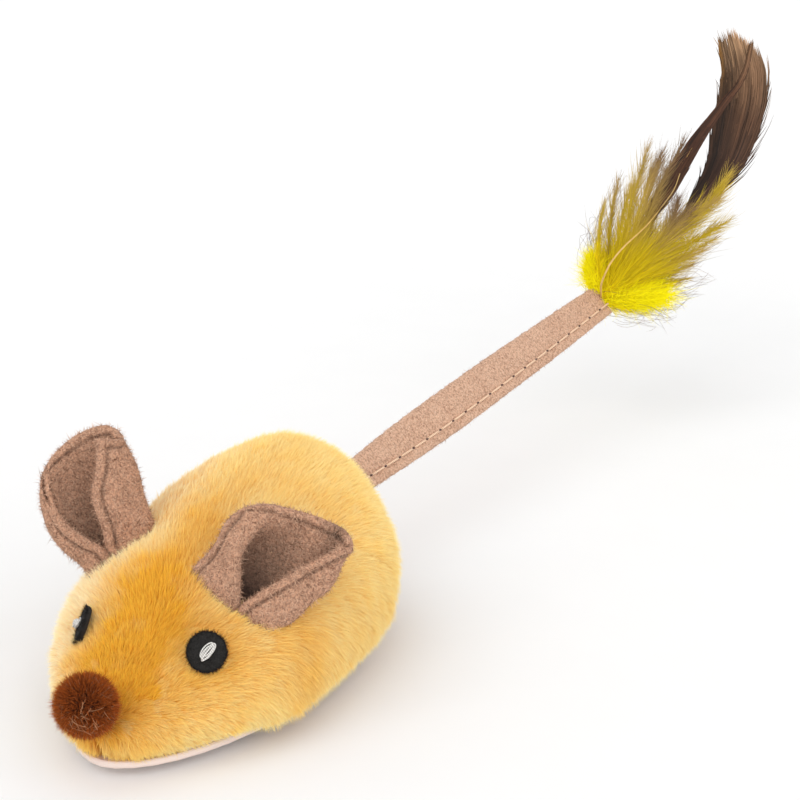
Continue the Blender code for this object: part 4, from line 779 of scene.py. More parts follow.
def nap(points, shade_and_seam_mask, count, length, pale, dark):
    """Short loose fibres, pale and dark, that stand on a closed grid of points and curl their own way."""
    rows, columns = points.shape[:2]
    corner = points[:-1]
    after = np.roll(points, -1, axis=1)[:-1]
    area = np.linalg.norm(np.cross(after - corner, points[1:] - corner), axis=-1)
    row, column = np.divmod(rng.choice(area.size, count, p=area.ravel() / area.sum()), columns)
    following = (column + 1) % columns
    share = rng.random((count, 2, 1))
    a, b = points[row, column], points[row, following]
    c, d = points[row + 1, column], points[row + 1, following]
    here = (a * (1 - share[:, 0]) + b * share[:, 0]) * (1 - share[:, 1])
    here += (c * (1 - share[:, 0]) + d * share[:, 0]) * share[:, 1]
    outward = unit(np.cross(b - a, c - a))
    heads = unit(outward * 0.35 + rng.normal(0, 0.6, (count, 3)))
    heads = unit(heads + outward * np.clip(0.25 - (heads * outward).sum(1), 0, 1)[:, None])
    bends = rng.normal(0, 0.5, (count, 3)) - outward * 0.35
    lengths = length * rng.uniform(0.5, 1.5, count)
    widths = rng.uniform(*NAP_WIDTHS, count)
    mix = np.clip(rng.normal(0.32, 0.35, (count, 1)), 0, 1)
    colour = light_of(pale) * (1 - mix) + light_of(dark) * mix
    # The fibres darken with the painted shade and the seam line of the surface under them.
    colour *= 0.06 + 0.94 * shade_and_seam_mask.reshape(rows, columns)[row, column][:, None]
    return blades(here, heads, bends, lengths, widths, outward, colour * 0.8, colour)


nap_finish = fibre_finish("suede_nap", 0.9, 0.05)
LEFT_EAR = [
    [
        (-8.3, 7.6, -0.5), (-5, 3.4, 2), (-0.3, 0.2, 3.8), (-1, 2.6, 1.4),
        (3.6, 0.8, -0.4), (7.2, -4.4, 2.6), (4, -2, 4.4), (0.7, -0.2, 4.2),
    ],
    [
        (-6, 9.9, -0.6), (-3.4, 7, 1.6), (-0.2, 4.6, 3.6), (-1.6, 6.8, -1.6),
        (5.8, 6, -3.2), (10.5, -2.6, 1.8), (7.4, 0, 4), (4.4, 2.4, 4.2),
    ],
    [
        (-4, 12.4, -0.8), (-2.4, 11.2, 1), (-0.2, 9, 3), (-0.6, 11.2, -3.2),
        (8.8, 10.8, -4.6), (14.1, 1.2, 0.4), (11.6, 3.2, 3), (9.2, 5.2, 3.4),
    ],
    [
        (-2.5, 15.6, -1), (-1, 15, 0.2), (1.2, 12.8, 1.2), (3.6, 14.4, -2.4),
        (12.4, 13.2, -4.2), (18.2, 5, -0.8), (16.6, 6.6, 1.2), (14.4, 8.2, 2),
    ],
    [
        (0, 18.4, -1.2), (3.2, 19.5, -1.4), (6.4, 19.6, -1.7), (10.2, 18.7, -2.1),
        (15.8, 17, -2.5), (21.2, 14.5, -2), (22.9, 11.5, -0.8), (20.8, 11, 0.8),
    ],
]
RIGHT_EAR = [
    [(-0.4, 0, 2), (-3, -1.3, 1.5), (-5, -2.6, -0.5), (0, 1, -5), (8, 2.2, -1.5), (4.5, 1, 1.2), (0, 0, 2)],
    [
        (-4, 2, 2.5), (-6, 0.4, 1.5), (-8.7, 0.8, -0.5), (-2, 6, -6),
        (7.9, 5.4, -2), (4, 5, 1.5), (-0.8, 3.8, 3),
    ],
    [
        (-7.6, 4.4, 2), (-9.4, 3.6, 1), (-11.5, 5.2, -1), (-4, 11, -6),
        (6, 11, -2.5), (2.5, 10.5, 1.5), (-3, 10.8, 3),
    ],
    [
        (-10.6, 7.8, 1), (-11.8, 8.2, 0), (-12.9, 11.3, -1.5), (-6, 16, -5.5),
        (4.3, 17, -2.5), (1.6, 17, 1), (-2.2, 17, 2.5),
    ],
    [
        (-12.8, 10.8, 0), (-13.3, 14, -0.8), (-12.3, 18.4, -2), (-7.2, 23.2, -3),
        (-0.8, 25.4, -2), (2.3, 22.8, -0.3), (-2.4, 22.8, 1.5),
    ],
]
# The third entry of each ear is its painted shade: middle, half width and strength in the deep fold, and
# the strength of the painted shadow under the flap.
EARS = {
    "left": ((0.01370, -0.01494, 0.02441), (-1.2, -2.0, -1.6), (0.49, 0.185, 0.98, 0.85), LEFT_EAR),
    "right": ((-0.01908, -0.01100, 0.02847), (2.3, -3.2, -0.5), (0.50, 0.24, 0.50, 0.0), RIGHT_EAR),
}
for side, shape in EARS.items():
    grid, faces, shade_and_seam_mask = ear_mesh(*shape)
    ear = new_piece(f"suede_ear_{side}", grid.reshape(-1, 3), faces, ear_suede, shade_and_seam_mask)
    fitted(ear, "mouse", "rose_suede", f"ear_{side}")
    pale, dark = srgb(234, 190, 160), srgb(114, 76, 54)
    fibres, faces, tint = nap(grid, shade_and_seam_mask, EAR_FIBRES, EAR_NAP_LENGTH, pale, dark)
    fuzz = new_piece(f"ear_nap_{side}", fibres, faces, nap_finish, tint)
    fitted(fuzz, "mouse", "rose_suede")

# Eyes
# Each eye is a disc punched from black felt. White thread through its middle holds it to the plush
# and is pulled into a short fat knot.

EYE_RADIUS = 0.0039
FELT_THICKNESS = 0.0015
FELT_FIBRES = 2600
FELT_FIBRE_WIDTH = 0.00007
KNOT_LENGTH = 0.0036
KNOT_LOOPS = 6
THREAD_RADIUS = 0.00016
EYE_PLACES = {"left": (0.0141, -0.0290), "right": (-0.0143, -0.0290)}
EYE_HEADINGS = {"left": (0.60, -0.60, 0.385), "right": (-0.80, -0.45, 0.36)}
EYE_RISES = {"left": 0.0010, "right": -0.0002}


def body_height(x, y):
    """Height of the body's surface over a place."""
    t = y / BODY_LENGTH + 0.5
    half = BODY_WIDTH / 2 * hump(t, PLAN_SHARES)
    crown = (BODY_HEIGHT - WAIST_HEIGHT) * hump(t, CROWN_SHARES)
    return WAIST_HEIGHT + crown * (1 - (x / half) ** 2) ** 0.5


def felt(name):
    """Pressed felt: matted short fibres, with paler ones here and there."""
    finish, shader, shade = new_finish(name, 0.95)
    mat = object_noise(shade, 3000.0, 5.0)
    paint(shade, shader, mat, srgb(12, 11, 11), srgb(44, 41, 38))
    bumped(shade, shader, mat, 0.0003)
    return finish


def cotton_thread(name, colour, darker):
    """Twisted thread, whose plies show as slanting bands."""
    finish, shader, shade = new_finish(name, 0.8, Sheen_Weight=0.2)
    inputs = {"Vector": object_place(shade), "Scale": 900.0, "Distortion": 1.0}
    plies = shade.node("ShaderNodeTexWave", {"bands_direction": "DIAGONAL"}, inputs)
    paint(shade, shader, plies, darker, colour)
    bumped(shade, shader, plies, 0.0001)
    return finish


def tube_mesh(line, radius, sides=8):
    """A round tube along a line of points, closed at both ends. Its rings keep from turning."""
    travel = unit(np.gradient(line, axis=0))
    hint = np.array([0.0, 0.0, 1.0]) if abs(travel[0, 2]) < 0.8 else np.array([1.0, 0.0, 0.0])
    first = unit(np.cross(travel, hint))
    second = np.cross(travel, first)
    turn = np.linspace(0, 2 * np.pi, sides, endpoint=False)
    rings = first[:, None] * np.cos(turn)[:, None] + second[:, None] * np.sin(turn)[:, None]
    radius = np.broadcast_to(radius, len(line))[:, None, None]
    points = line[:, None] + rings * radius
    return points.reshape(-1, 3), *capped_faces(len(line), sides)


def joined(parts):
    """One set of points and faces from several. Each part is points and then its arrays of faces."""
    shift = np.cumsum([0] + [len(part[0]) for part in parts])
    points = np.concatenate([part[0] for part in parts])
    faces = [face + start for part, start in zip(parts, shift) for face in part[1:]]
    return points, faces


def felt_disc(middle, normal, sideways, upward):
    """A disc bulging a little in its middle, with an uneven edge of fibres."""
    rows, columns = 14, 72
    reach = np.concatenate([np.linspace(0.02, 1, 9), [1.02, 1.0], np.linspace(0.9, 0.02, 3)])[:, None]
    turn = np.linspace(0, 2 * np.pi, columns, endpoint=False)[None, :]
    ragged = 1 + reach**6 * 0.012 * (np.sin(turn * 23) + np.sin(turn * 37 + 1) + np.sin(turn * 9 + 2))
    out = EYE_RADIUS * reach * ragged
    crown = 1 - np.linspace(0, 1, 9) ** 5 * 0.5
    high = FELT_THICKNESS / 2 * np.concatenate([crown, [0.1, -0.5], [-1, -1, -1]])
    spoke = np.cos(turn)[..., None] * upward + np.sin(turn)[..., None] * sideways
    points = middle + out[..., None] * spoke
    return (points + high[:, None, None] * normal).reshape(-1, 3), capped_faces(rows, columns)


felt_finish = felt("black_felt")
white_thread = cotton_thread("white_thread", srgb(252, 250, 246), srgb(206, 201, 194))
felt_fibres = fibre_finish("felt_fibres", 0.95, 0.0)
for side in ("left", "right"):
    spot = np.array([*EYE_PLACES[side], body_height(*EYE_PLACES[side])])
    normal = unit(np.array(EYE_HEADINGS[side]))
    upward = unit(np.array([0.0, 0.0, 1.0]) - normal * normal[2])
    sideways = np.cross(upward, normal)
    middle = spot + normal * EYE_RISES[side]
    points, faces = felt_disc(middle, normal, sideways, upward)
    disc = new_piece(f"felt_eye_{side}", points, faces, felt_finish)
    fitted(disc, "mouse", "black_felt", f"eye_{side}")
    count = FELT_FIBRES
    turn = rng.uniform(0, 2 * np.pi, count)
    reach = np.where(rng.random(count) < 0.5, 1.0, np.sqrt(rng.random(count)))
    radial = np.cos(turn)[:, None] * sideways + np.sin(turn)[:, None] * upward
    here = middle + radial * (EYE_RADIUS * reach * 0.99)[:, None] + normal * (FELT_THICKNESS * 0.42)
    here -= normal * (reach**8 * FELT_THICKNESS * 0.4 * rng.random(count))[:, None]
    heads = unit(radial * (reach**8)[:, None] * 0.8 + normal * 0.35 + rng.normal(0, 0.6, (count, 3)))
    dark = light_of(srgb(34, 32, 30)) * rng.uniform(0.3, 1.5, (count, 1))
    lengths = rng.uniform(0.0003, 0.0008, count)
    widths = np.full(count, FELT_FIBRE_WIDTH)
    curl = rng.normal(0, 0.4, (count, 3))
    fuzz = blades(here, heads, curl, lengths, widths, np.tile(normal, (count, 1)), dark, dark)
    fluffed = new_piece(f"felt_edge_{side}", fuzz[0], fuzz[1], felt_fibres, fuzz[2])
    fitted(fluffed, "mouse", "black_felt")
    lean = unit(upward * 0.66 + sideways * 0.75)
    across = np.cross(normal, lean)
    strands = []
    for number in range(KNOT_LOOPS):
        place = (number + 0.5) / KNOT_LOOPS
        angle = np.linspace(0, 2 * np.pi * 1.04, 27)[:, None] + number
        reach = KNOT_LENGTH / 2 * (0.72 + 0.28 * (number % 2)) * np.cos(angle)
        width = KNOT_LENGTH * (0.06 + 0.20 * place) * np.sin(angle)
        shift = across * 0.00022 * np.sin(number * 4.0) + lean * 0.00035 * np.cos(number * 2.3)
        height = FELT_THICKNESS * 0.5 + 0.00012 + 0.0012 * (1 - place) * (1 - 0.6 * np.cos(angle) ** 2)
        line = middle + shift + lean * reach + across * width + normal * height
        strands.append(tube_mesh(line, THREAD_RADIUS, 6))
    points, faces = joined(strands)
    knot = new_piece(f"thread_knot_{side}", points, faces, white_thread)
    fitted(knot, "mouse", "white_thread", f"eye_stitch_{side}")

# Nose
# The nose is a small wool pompom: strands bound at the middle and cut to a ball, rust brown, with
# some paler ones that curl.

NOSE_RADIUS = 0.0064
NOSE_CORE_SHARE = 0.74
NOSE_STRANDS = 14000
NOSE_CURLS = 60
WOOL_WIDTH = 0.00014
CURL_WIDTH = 0.00008


def wool_core(name):
    """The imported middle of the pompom, mottled dark."""
    finish, shader, shade = new_finish(name, 0.95)
    mat = object_noise(shade, 1200.0, 4.0)
    paint(shade, shader, mat, srgb(52, 24, 12), srgb(122, 64, 36))
    bumped(shade, shader, mat, 0.0005)
    return finish


polar = np.linspace(np.pi - 0.02, 0.02, 25)[:, None]
turn = np.linspace(0, 2 * np.pi, 48, endpoint=False)[None, :]
flat = np.sin(polar)
ball = np.stack(np.broadcast_arrays(flat * np.cos(turn), flat * np.sin(turn), np.cos(polar)), -1)
points = np.array(NOSE_SPOT) + ball.reshape(-1, 3) * NOSE_RADIUS * NOSE_CORE_SHARE
core = new_piece("pompom_core", points, capped_faces(25, 48), wool_core("pompom_core"))
fitted(core, "mouse", "brown_pompom", "nose_pompom")
heads = unit(rng.normal(size=(NOSE_STRANDS, 3)))
here = np.array(NOSE_SPOT) + heads * NOSE_RADIUS * NOSE_CORE_SHARE * 0.95
spread = unit(heads + rng.normal(0, 0.16, heads.shape))
bends = rng.normal(0, 0.22, heads.shape)
lengths = NOSE_RADIUS * (1.02 - NOSE_CORE_SHARE * 0.95) * rng.uniform(0.85, 1.08, NOSE_STRANDS)
pale = (rng.random((NOSE_STRANDS, 1)) < 0.06) * 1.0
deep = light_of(srgb(92, 44, 20)) * rng.uniform(0.6, 1.5, (NOSE_STRANDS, 1))
rust = light_of(srgb(190, 98, 34)) * rng.uniform(0.6, 1.3, (NOSE_STRANDS, 1))
cream = light_of(srgb(180, 128, 92))
tips = rust * (1 - pale) + cream * pale
widths = np.full(NOSE_STRANDS, WOOL_WIDTH)
faces_to = unit(rng.normal(size=heads.shape))
wool = blades(here, spread, bends, lengths, widths, faces_to, deep, tips, (0.0, 0.4, 0.75))
curl_way = unit(rng.normal(size=(NOSE_CURLS, 3)) * 0.8 + np.array([0.6, -1.1, -0.5]))
aside = unit(np.cross(curl_way, rng.normal(size=curl_way.shape)))
angle = np.linspace(-1.0, 1.0, 8)[:, None, None] * rng.uniform(0.08, 0.26, (NOSE_CURLS, 1))
arch = curl_way * np.cos(angle) + aside * np.sin(angle)
arch = arch + np.cross(curl_way, aside) * (np.cos(angle * 2) - 1) * 0.25
curl_line = np.array(NOSE_SPOT) + arch * NOSE_RADIUS * rng.uniform(0.94, 1.03, (NOSE_CURLS, 1))
curl_tint = np.broadcast_to(cream, curl_line.shape) * rng.uniform(0.5, 1.2, (NOSE_CURLS, 1))
curls = ribbons(curl_line, np.full((8, NOSE_CURLS), CURL_WIDTH), curl_way, curl_tint)
wool = [joined([(wool[0], *wool[1]), (curls[0], *curls[1])]), np.concatenate([wool[2], curls[2]])]
wool_piece = new_piece("pompom_wool", *wool[0], fibre_finish("pompom_wool", 0.9, 0.0), wool[1])
fitted(wool_piece, "mouse", "brown_pompom")

# Tail
# The tail is a suede strip folded lengthwise and stitched near its open edge. It is sewn into the
# plush at the rear, pinched there, and stands out stiffly.

TAIL_POINT = np.array([0.0, 0.0525, 0.0200])
TAIL_YAW = np.radians(8.4)
TAIL_RISE = np.radians(6.3)
STRAP_TILT = np.radians(50)
STRAP_START = -0.0089
STRAP_JOIN = 0.0044
STRAP_END = 0.128
STRAP_WIDTH = 0.0106
STRAP_FOOT_NARROWER = 0.0038
STRAP_TIP_NARROWER = 0.0020
WIDEST_SHARE = 0.42
LAYER_THICKNESS = 0.0011
LAYER_GAP = 0.00025
STRAP_FACE = LAYER_GAP / 2 + LAYER_THICKNESS
STITCH_PITCH = 0.0058
STITCH_LENGTH = 0.0046
STITCH_RADIUS = 0.00026
PIT_RADIUS = 0.00029
PIT_HALF_LENGTH = 0.00042
SEAM_INSET = 0.0026
LINK_AT = (0.0, 0.0087)
TAIL_NAP_LENGTH = 0.0005

level_across = np.array([-np.cos(TAIL_YAW), np.sin(TAIL_YAW), 0.0])
strap_level = np.array([np.sin(TAIL_YAW), np.cos(TAIL_YAW), 0.0])
strap_along = strap_level * np.cos(TAIL_RISE) + np.array([0.0, 0.0, np.sin(TAIL_RISE)])
upright = np.cross(level_across, strap_along)
upright = upright * np.sign(upright[2])
strap_across = level_across * np.cos(STRAP_TILT) + upright * np.sin(STRAP_TILT)
strap_out = np.cross(strap_along, strap_across)


def strap_width(distance):
    """Grows by a parabola from the foot to its widest place, and narrows by one to the tip."""
    share = np.clip(distance / STRAP_END, 0, 1)
    rise = STRAP_WIDTH - STRAP_FOOT_NARROWER * (1 - share / WIDEST_SHARE) ** 2
    fall = STRAP_WIDTH - STRAP_TIP_NARROWER * ((share - WIDEST_SHARE) / (1 - WIDEST_SHARE)) ** 2
    return np.where(share < WIDEST_SHARE, rise, fall)


def strap_mesh(start, end, rings):
    """The folded strip from start to end.

    Its section is a hairpin: out along one layer, round the fold and back along the other, first
    outside and then inside.
    """
    distance = np.linspace(start, end, rings)
    width = strap_width(distance)
    inner = LAYER_GAP / 2
    outer = inner + LAYER_THICKNESS
    bow = np.linspace(-np.pi / 2, np.pi / 2, 13)
    flat = np.linspace(0, 1, 14)
    place, offset = [], []
    for radius, ordered in ((outer, 1), (inner, -1)):
        lane = [(s, -radius, 0.0) for s in flat[:-1]] + [(1.0, 0.0, b) for b in bow]
        lane = (lane + [(s, radius, 0.0) for s in flat[-2::-1]])[::ordered]
        for share, layer, bend in lane:
            place.append((share, np.cos(bend) * radius if share == 1.0 else 0.0))
            offset.append(np.sin(bend) * radius if share == 1.0 else layer)
    place = np.array(place)
    offset = np.array(offset)
    fold = (width / 2 - outer)[:, None]
    edge = (-width / 2)[:, None]
    rough = 0.00012 * waves(np.stack([distance * 60, distance * 0, distance * 0], 1), 40.0, 31)[:, None]
    across = edge + (fold - edge) * place[None, :, 0] + place[None, :, 1] + rough
    seam = np.exp(-(((across - edge - SEAM_INSET) / 0.0006) ** 2)) * 0.00016
    pinch = 1 - 0.25 * np.exp(-(((distance - 0.004) / 0.004) ** 2))[:, None]
    ripple = 1 + 0.05 * np.sin(distance * 2 * np.pi / STITCH_PITCH)[:, None] * (place[None, :, 0] < 0.35)
    layer = offset[None, :] * ripple * pinch - np.sign(offset)[None, :] * seam
    points = TAIL_POINT + distance[:, None, None] * strap_along
    points = points + across[..., None] * strap_across + layer[..., None] * strap_out
    columns = len(offset)
    faces = [grid_faces(rings, columns, closed=True)]
    half = columns // 2
    ends = []
    for ring in (0, rings - 1):
        base = ring * columns
        outer_lane = base + np.arange(half)
        inner_lane = base + np.arange(columns - 1, half - 1, -1)
        strip = np.stack([outer_lane[:-1], inner_lane[:-1], inner_lane[1:], outer_lane[1:]], 1)
        ends.append(strip if ring == 0 else strip[:, ::-1])
    return points.reshape(-1, 3), faces + ends, points


def seam_row(middles, share, half_length, proud, radius, sides):
    """Short threads in a row along the seam, on both faces of the strap, raised by proud."""
    parts = []
    for middle in middles:
        distance = middle + share * half_length
        inset = SEAM_INSET - strap_width(distance) / 2
        line = TAIL_POINT + distance * strap_along + inset * strap_across
        for face in (1, -1):
            parts.append(tube_mesh(line + face * (STRAP_FACE + proud) * strap_out, radius, sides))
    return joined(parts)


def stitches(start, end):
    """Proud stitches, highest in their middle."""
    share = np.linspace(-1, 1, 9)[:, None]
    proud = 0.00038 * (1 - share**4) - 0.0002
    middles = np.arange(start, end, STITCH_PITCH)
    return seam_row(middles, share, STITCH_LENGTH / 2, proud, STITCH_RADIUS, 7)


def stitch_pit_shades(start, end):
    """Pits between the stitches, where the needle drew the thread down, as short dark knots whose colour is
    painted shade.
    """
    share = np.linspace(-1, 1, 5)[:, None]
    middles = np.arange(start, end, STITCH_PITCH) + STITCH_PITCH / 2
    radius = PIT_RADIUS * (1 - 0.5 * share[:, 0] ** 2)
    return seam_row(middles, share, PIT_HALF_LENGTH, -0.0001, radius, 6)


def strap_piece(name, start, end, rings, fibres, parent, child, joint_at, stitch_from):
    """A length of the strap with its nap, stitches and pits. The joint is not used."""
    points, faces, grid = strap_mesh(start, end, rings)
    shade_and_seam_mask = np.ones((len(points), 1))
    strap = new_piece(name, points, faces, tail_suede, shade_and_seam_mask)
    pale, dark = srgb(246, 208, 182), srgb(146, 104, 80)
    hairs, hair_faces, tint = nap(grid, shade_and_seam_mask, fibres, TAIL_NAP_LENGTH, pale, dark)
    fuzz = new_piece(f"{name}_nap", hairs, hair_faces, nap_finish, tint)
    threads, thread_faces = stitches(stitch_from, end)
    seam = new_piece(f"{name}_stitches", threads, thread_faces, tan_thread)
    pits = new_piece(f"{name}_stitch_pit_shades", *stitch_pit_shades(stitch_from, end - STITCH_PITCH), pit_shade_finish)
    for piece in (strap, fuzz, seam, pits):
        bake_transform(piece)
    return strap, fuzz, seam, pits


# Dark thread colours for the pits between stitches: painted shade.
pit_shade_finish = cotton_thread("stitch_pit_shade", srgb(96, 58, 44), srgb(60, 36, 28))
tan_thread = cotton_thread("tan_thread", srgb(255, 226, 194), srgb(226, 180, 144))
foot_part = STRAP_START, STRAP_JOIN, 24, 2400, "mouse", "tail_root"
long_part = STRAP_JOIN, STRAP_END, 240, 24000, "tail_root", "tail"
tail_foot = strap_piece("tail_foot", *foot_part, LINK_AT[0], -0.002)
tail_long = strap_piece("tail_strip", *long_part, LINK_AT[1], 0.0052)
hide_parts("tail_tab", "tail_link")
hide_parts("tail_strap")

# Feathers
# A tuft of dyed marabou down and two brown feathers are glued and sewn into the tip of the strap,
# round a thin gold quill. The down is bright yellow at its foot and runs out in brown wisps.

TUFT_POINT = TAIL_POINT + strap_along * 0.1283
TUFT_SIDE = np.array([np.cos(TAIL_YAW), -np.sin(TAIL_YAW), 0.0])
FEATHER_FACE = unit(np.array([0.40, -0.85, 0.34]))
QUILL_LINE = [(0.2, 0.9, 0), (-4.6, 4.3, 2.5), (-8.3, 7.7, 4.5), (-9.2, 11.4, 6.2), (-7.1, 14.1, 6.8)]
QUILL_LINE += [(-1.4, 17.1, 7.5), (10.0, 20.3, 8), (19.0, 23.9, 8), (26.4, 26.7, 7.5), (31.7, 30.0, 6.5)]
LONG_LINE = [
    (2, 0.5), (6.4, 1.9), (14.8, 6.7), (20.9, 11.3), (23.9, 17.2), (27.2, 20.5), (33.6, 23.7),
    (41.7, 28.9), (51.8, 34.9), (60.9, 39.2), (69.7, 43.2), (77.3, 46.3), (82.2, 50.2), (84.3, 55.2),
]
BROAD_LINE = [
    (4, -0.5), (16.8, 0.2), (30.3, 3.6), (42.3, 7.3), (54.5, 11.7), (62.6, 15.3), (71.5, 18.9),
    (77.7, 22.8), (81.3, 27.2), (85.2, 34.4), (87.5, 40.3), (87.3, 47.2), (84.5, 53.1), (80.5, 59.5),
]
LONG_STRANDS = 4200
BROAD_STRANDS = 9000
DARK_SIDE_TONE = 0.62
LONG_HALF_WIDTHS = [0.4, 0.5, 0.7, 1.0, 1.3, 1.8, 2.2, 2.1, 1.7, 1.2, 0.9, 0.8, 0.7, 0.5]
BROAD_HALF_WIDTHS = [0.4, 0.4, 0.5, 0.8, 1.5, 2.6, 3.9, 5.0, 5.9, 6.5, 6.5, 6.3, 5.6, 5.0]
RIGHT_SIDE_SHORTER = 0.085
VANE_ASIDE = 0.0015
FAN_ANGLES = np.radians([-20, 0, 20, 30, 45, 60, 74, 90, 100])
FAN_REACHES = np.array([18, 27, 38, 44, 42, 42, 40, 27, 17]) / 1000
WISP_LINES = [
    [(-0.1, 7.2), (-0.6, 18.5), (0.8, 27.3)],
    [(1.8, 7.2), (3.0, 22.8), (5.2, 34.1)],
    [(3.0, 7.2), (6.6, 24.9), (8.8, 31.4)],
    [(4.0, 7.2), (8.5, 28.2), (12.5, 41.9)],
    [(5.1, 7.2), (11.2, 28.2), (14.4, 37.6)],
    [(6.1, 7.7), (13.1, 28.2), (17.8, 42.2)],
    [(7.2, 8.8), (15.7, 29.8), (23.2, 44.4)],
    [(10.4, 9.4), (18.5, 19.6), (21.1, 28.2)],
    [(11.5, 10.4), (19.6, 18.5), (26.5, 26.6)],
    [(10.4, 9.9), (23.3, 21.2), (33.5, 28.8)],
    [(12.0, 11.0), (28.1, 24.5), (36.7, 35.8)],
    [(10.4, 7.7), (25.5, 16.4), (38.0, 23.9)],
    [(9.4, 6.7), (21.2, 11.5), (34.1, 18.6)],
    [(8.8, 5.6), (19.0, 9.7), (29.8, 14.8)],
    [(8.3, 4.5), (18.0, 7.2), (26.6, 10.8)],
    [(7.2, 2.9), (16.9, 5.1), (26.1, 6.7)],
    [(6.2, 1.3), (13.2, 2.8), (21.2, 5.1)],
    [(5.1, -0.4), (10.5, -0.2), (16.9, 1.3)],
    [(-0.6, 4.2), (-3.0, 8.2), (-3.7, 13.1)],
    [(0.0, 5.0), (-1.2, 9.8), (-1.5, 15.2)],
]
WISP_SPREADS = [30, 30, 32, 36, 30, 32, 30, 60, 60, 44, 34, 42, 40, 44, 42, 38, 50, 50, 50, 50]
WISP_FADES = [56, 70, 66, 68, 82, 90, 105, 105, 92, 66, 52, 50, 58, 62, 66, 54, 26, 18, 20, 20]
WISP_HAIRS = 17000
TUFT_EDGE = 0.0475
STRAY_HAIRS = 420
STRAY_WIDTH = 0.00006
WISP_WIDTHS = (0.00007, 0.00013)
PUFF_WIDTH = 0.00011
SHAFT_STATIONS = 160


def tuft_place(places, side=0.0):
    """Points from millimetres along the level heading, upwards and to the side of the strap's tip."""
    places = np.asarray(places, float) / 1000
    sideways = places[..., 2:3] if places.shape[-1] == 3 else side
    rise = places[..., 1:2] * np.array([0.0, 0.0, 1.0])
    return TUFT_POINT + places[..., :1] * strap_level + rise + sideways * TUFT_SIDE


def smooth_line(knots, count):
    """A smooth curve through the knots with evenly spaced points."""
    dense = through(knots, 40 * len(knots))
    length = run(dense, 0)
    even = np.linspace(0, length[-1], count)
    return np.stack([np.interp(even, length, column) for column in dense.T], 1)


def along_line(line, share):
    """Points and headings at shares of a line, which runs on straight past its ends."""
    place = share * (len(line) - 1)
    low = np.clip(place.astype(int), 0, len(line) - 2)
    part = (place - low)[..., None]
    return line[low] * (1 - part) + line[low + 1] * part, unit(line[low + 1] - line[low])


def toned(shares, stops):
    """Colours by share, straight between stops of share and colour."""
    places = [stop[0] for stop in stops]
    colours = np.array([stop[1][:3] for stop in stops])
    return np.stack([np.interp(shares, places, colours[:, k]) for k in range(3)], -1)


def vane(line, knots, half_widths, count, stops, edge_tints, right_shorter=0.0, left_tone=1.0):
    """The web of a feather, as strands that run nearly along its shaft.

    A strand keeps its share of the half width while it travels along the shaft, drifts outwards a
    little, and ends in a tip. Clumps of strands differ in tone, and those at the edges take the edge
    tints, of the right and the left, and stray further. The half widths are given at the knots of
    the shaft. Towards the right edge the web ends earlier, and towards the left it may be darker.
    """
    place = rng.uniform(-1, 1, count)
    travel = rng.uniform(0.06, 0.17, count)
    finish = rng.uniform(0.0, 1.03, count) * (1 - right_shorter * np.clip(-place, 0, 1))
    start = (finish - travel * rng.uniform(0.85, 1.1, count)).clip(0)
    knot_share = run(np.array(knots, float), 0)
    step = np.linspace(0, 1, 7)[:, None]
    share = start + travel * step
    here, heading = along_line(line, share)
    across = unit(np.cross(FEATHER_FACE, heading))
    half = np.interp(share, knot_share / knot_share[-1], np.array(half_widths) / 1000)
    stray = (rng.random(count) < 0.07) * rng.uniform(0, 0.5, count)
    drift = place * (1 + (0.10 + stray) * step) + rng.normal(0, 0.02, count)
    camber = (rng.normal(0, 0.25, count) - 0.5 * drift**2) / 1000
    lines = here + across * (half * drift)[..., None] + FEATHER_FACE * camber[..., None]
    # The clump tones are partly the feather's own streaks and partly painted highlight.
    clump = waves(np.stack([place * 4, share[3] * 6, place * 0], 1), 2.2, 77)
    tone = (1 + 0.65 * clump + rng.normal(0, 0.32, count)).clip(0.3, 2.8)
    tone *= 1 - (1 - left_tone) * np.clip(place * 2 - 0.4, 0, 1)
    edge = np.clip(np.abs(place) * 5 - 4.2, 0, 1) * np.clip(share * 7 - 5.9, 0, 0.9)
    edge = edge[..., None]
    edge_tint = np.where(place[:, None] > 0, edge_tints[1][:3], edge_tints[0][:3])
    tints = toned(share, stops) * tone[:, None] * (1 - edge) + edge_tint * edge
    widths = rng.uniform(0.00018, 0.00034, count) * np.sqrt(1 - step**3)
    return ribbons(lines, widths, np.tile(FEATHER_FACE, (count, 1)), tints.clip(0, 1))


def seen(across, upwards, away):
    """A distance across, up and away as one looks at the tuft from the front left."""
    return across[..., None] * right + upwards[..., None] * up + away[..., None] * ahead


def inside_edge(across, away):
    """How far away an end has to lie at least, for its x to stay under the tuft's edge."""
    least = (TUFT_POINT[0] + across * right[0] - TUFT_EDGE) / -ahead[0]
    return np.maximum(away, least)


def wisp_middles():
    """Middle lines of the wisps: smooth curves from the strap's tip through three places each."""
    seen_knots = np.array(WISP_LINES)
    roots = rng.uniform(-0.4, 1.4, (len(seen_knots), 1, 2))
    across, upwards = np.concatenate([roots, seen_knots], 1).transpose(2, 1, 0) / 1000
    reach = np.hypot(across[-1], upwards[-1])
    depth = 0.30 * np.clip(across[-1], 0, None) + rng.normal(0, 0.20, len(reach)) * reach
    away = inside_edge(across[-1], depth) * np.array([0.0, 0.2, 0.6, 1.0])[:, None]
    return through(TUFT_POINT + seen(across, upwards, away), 24)


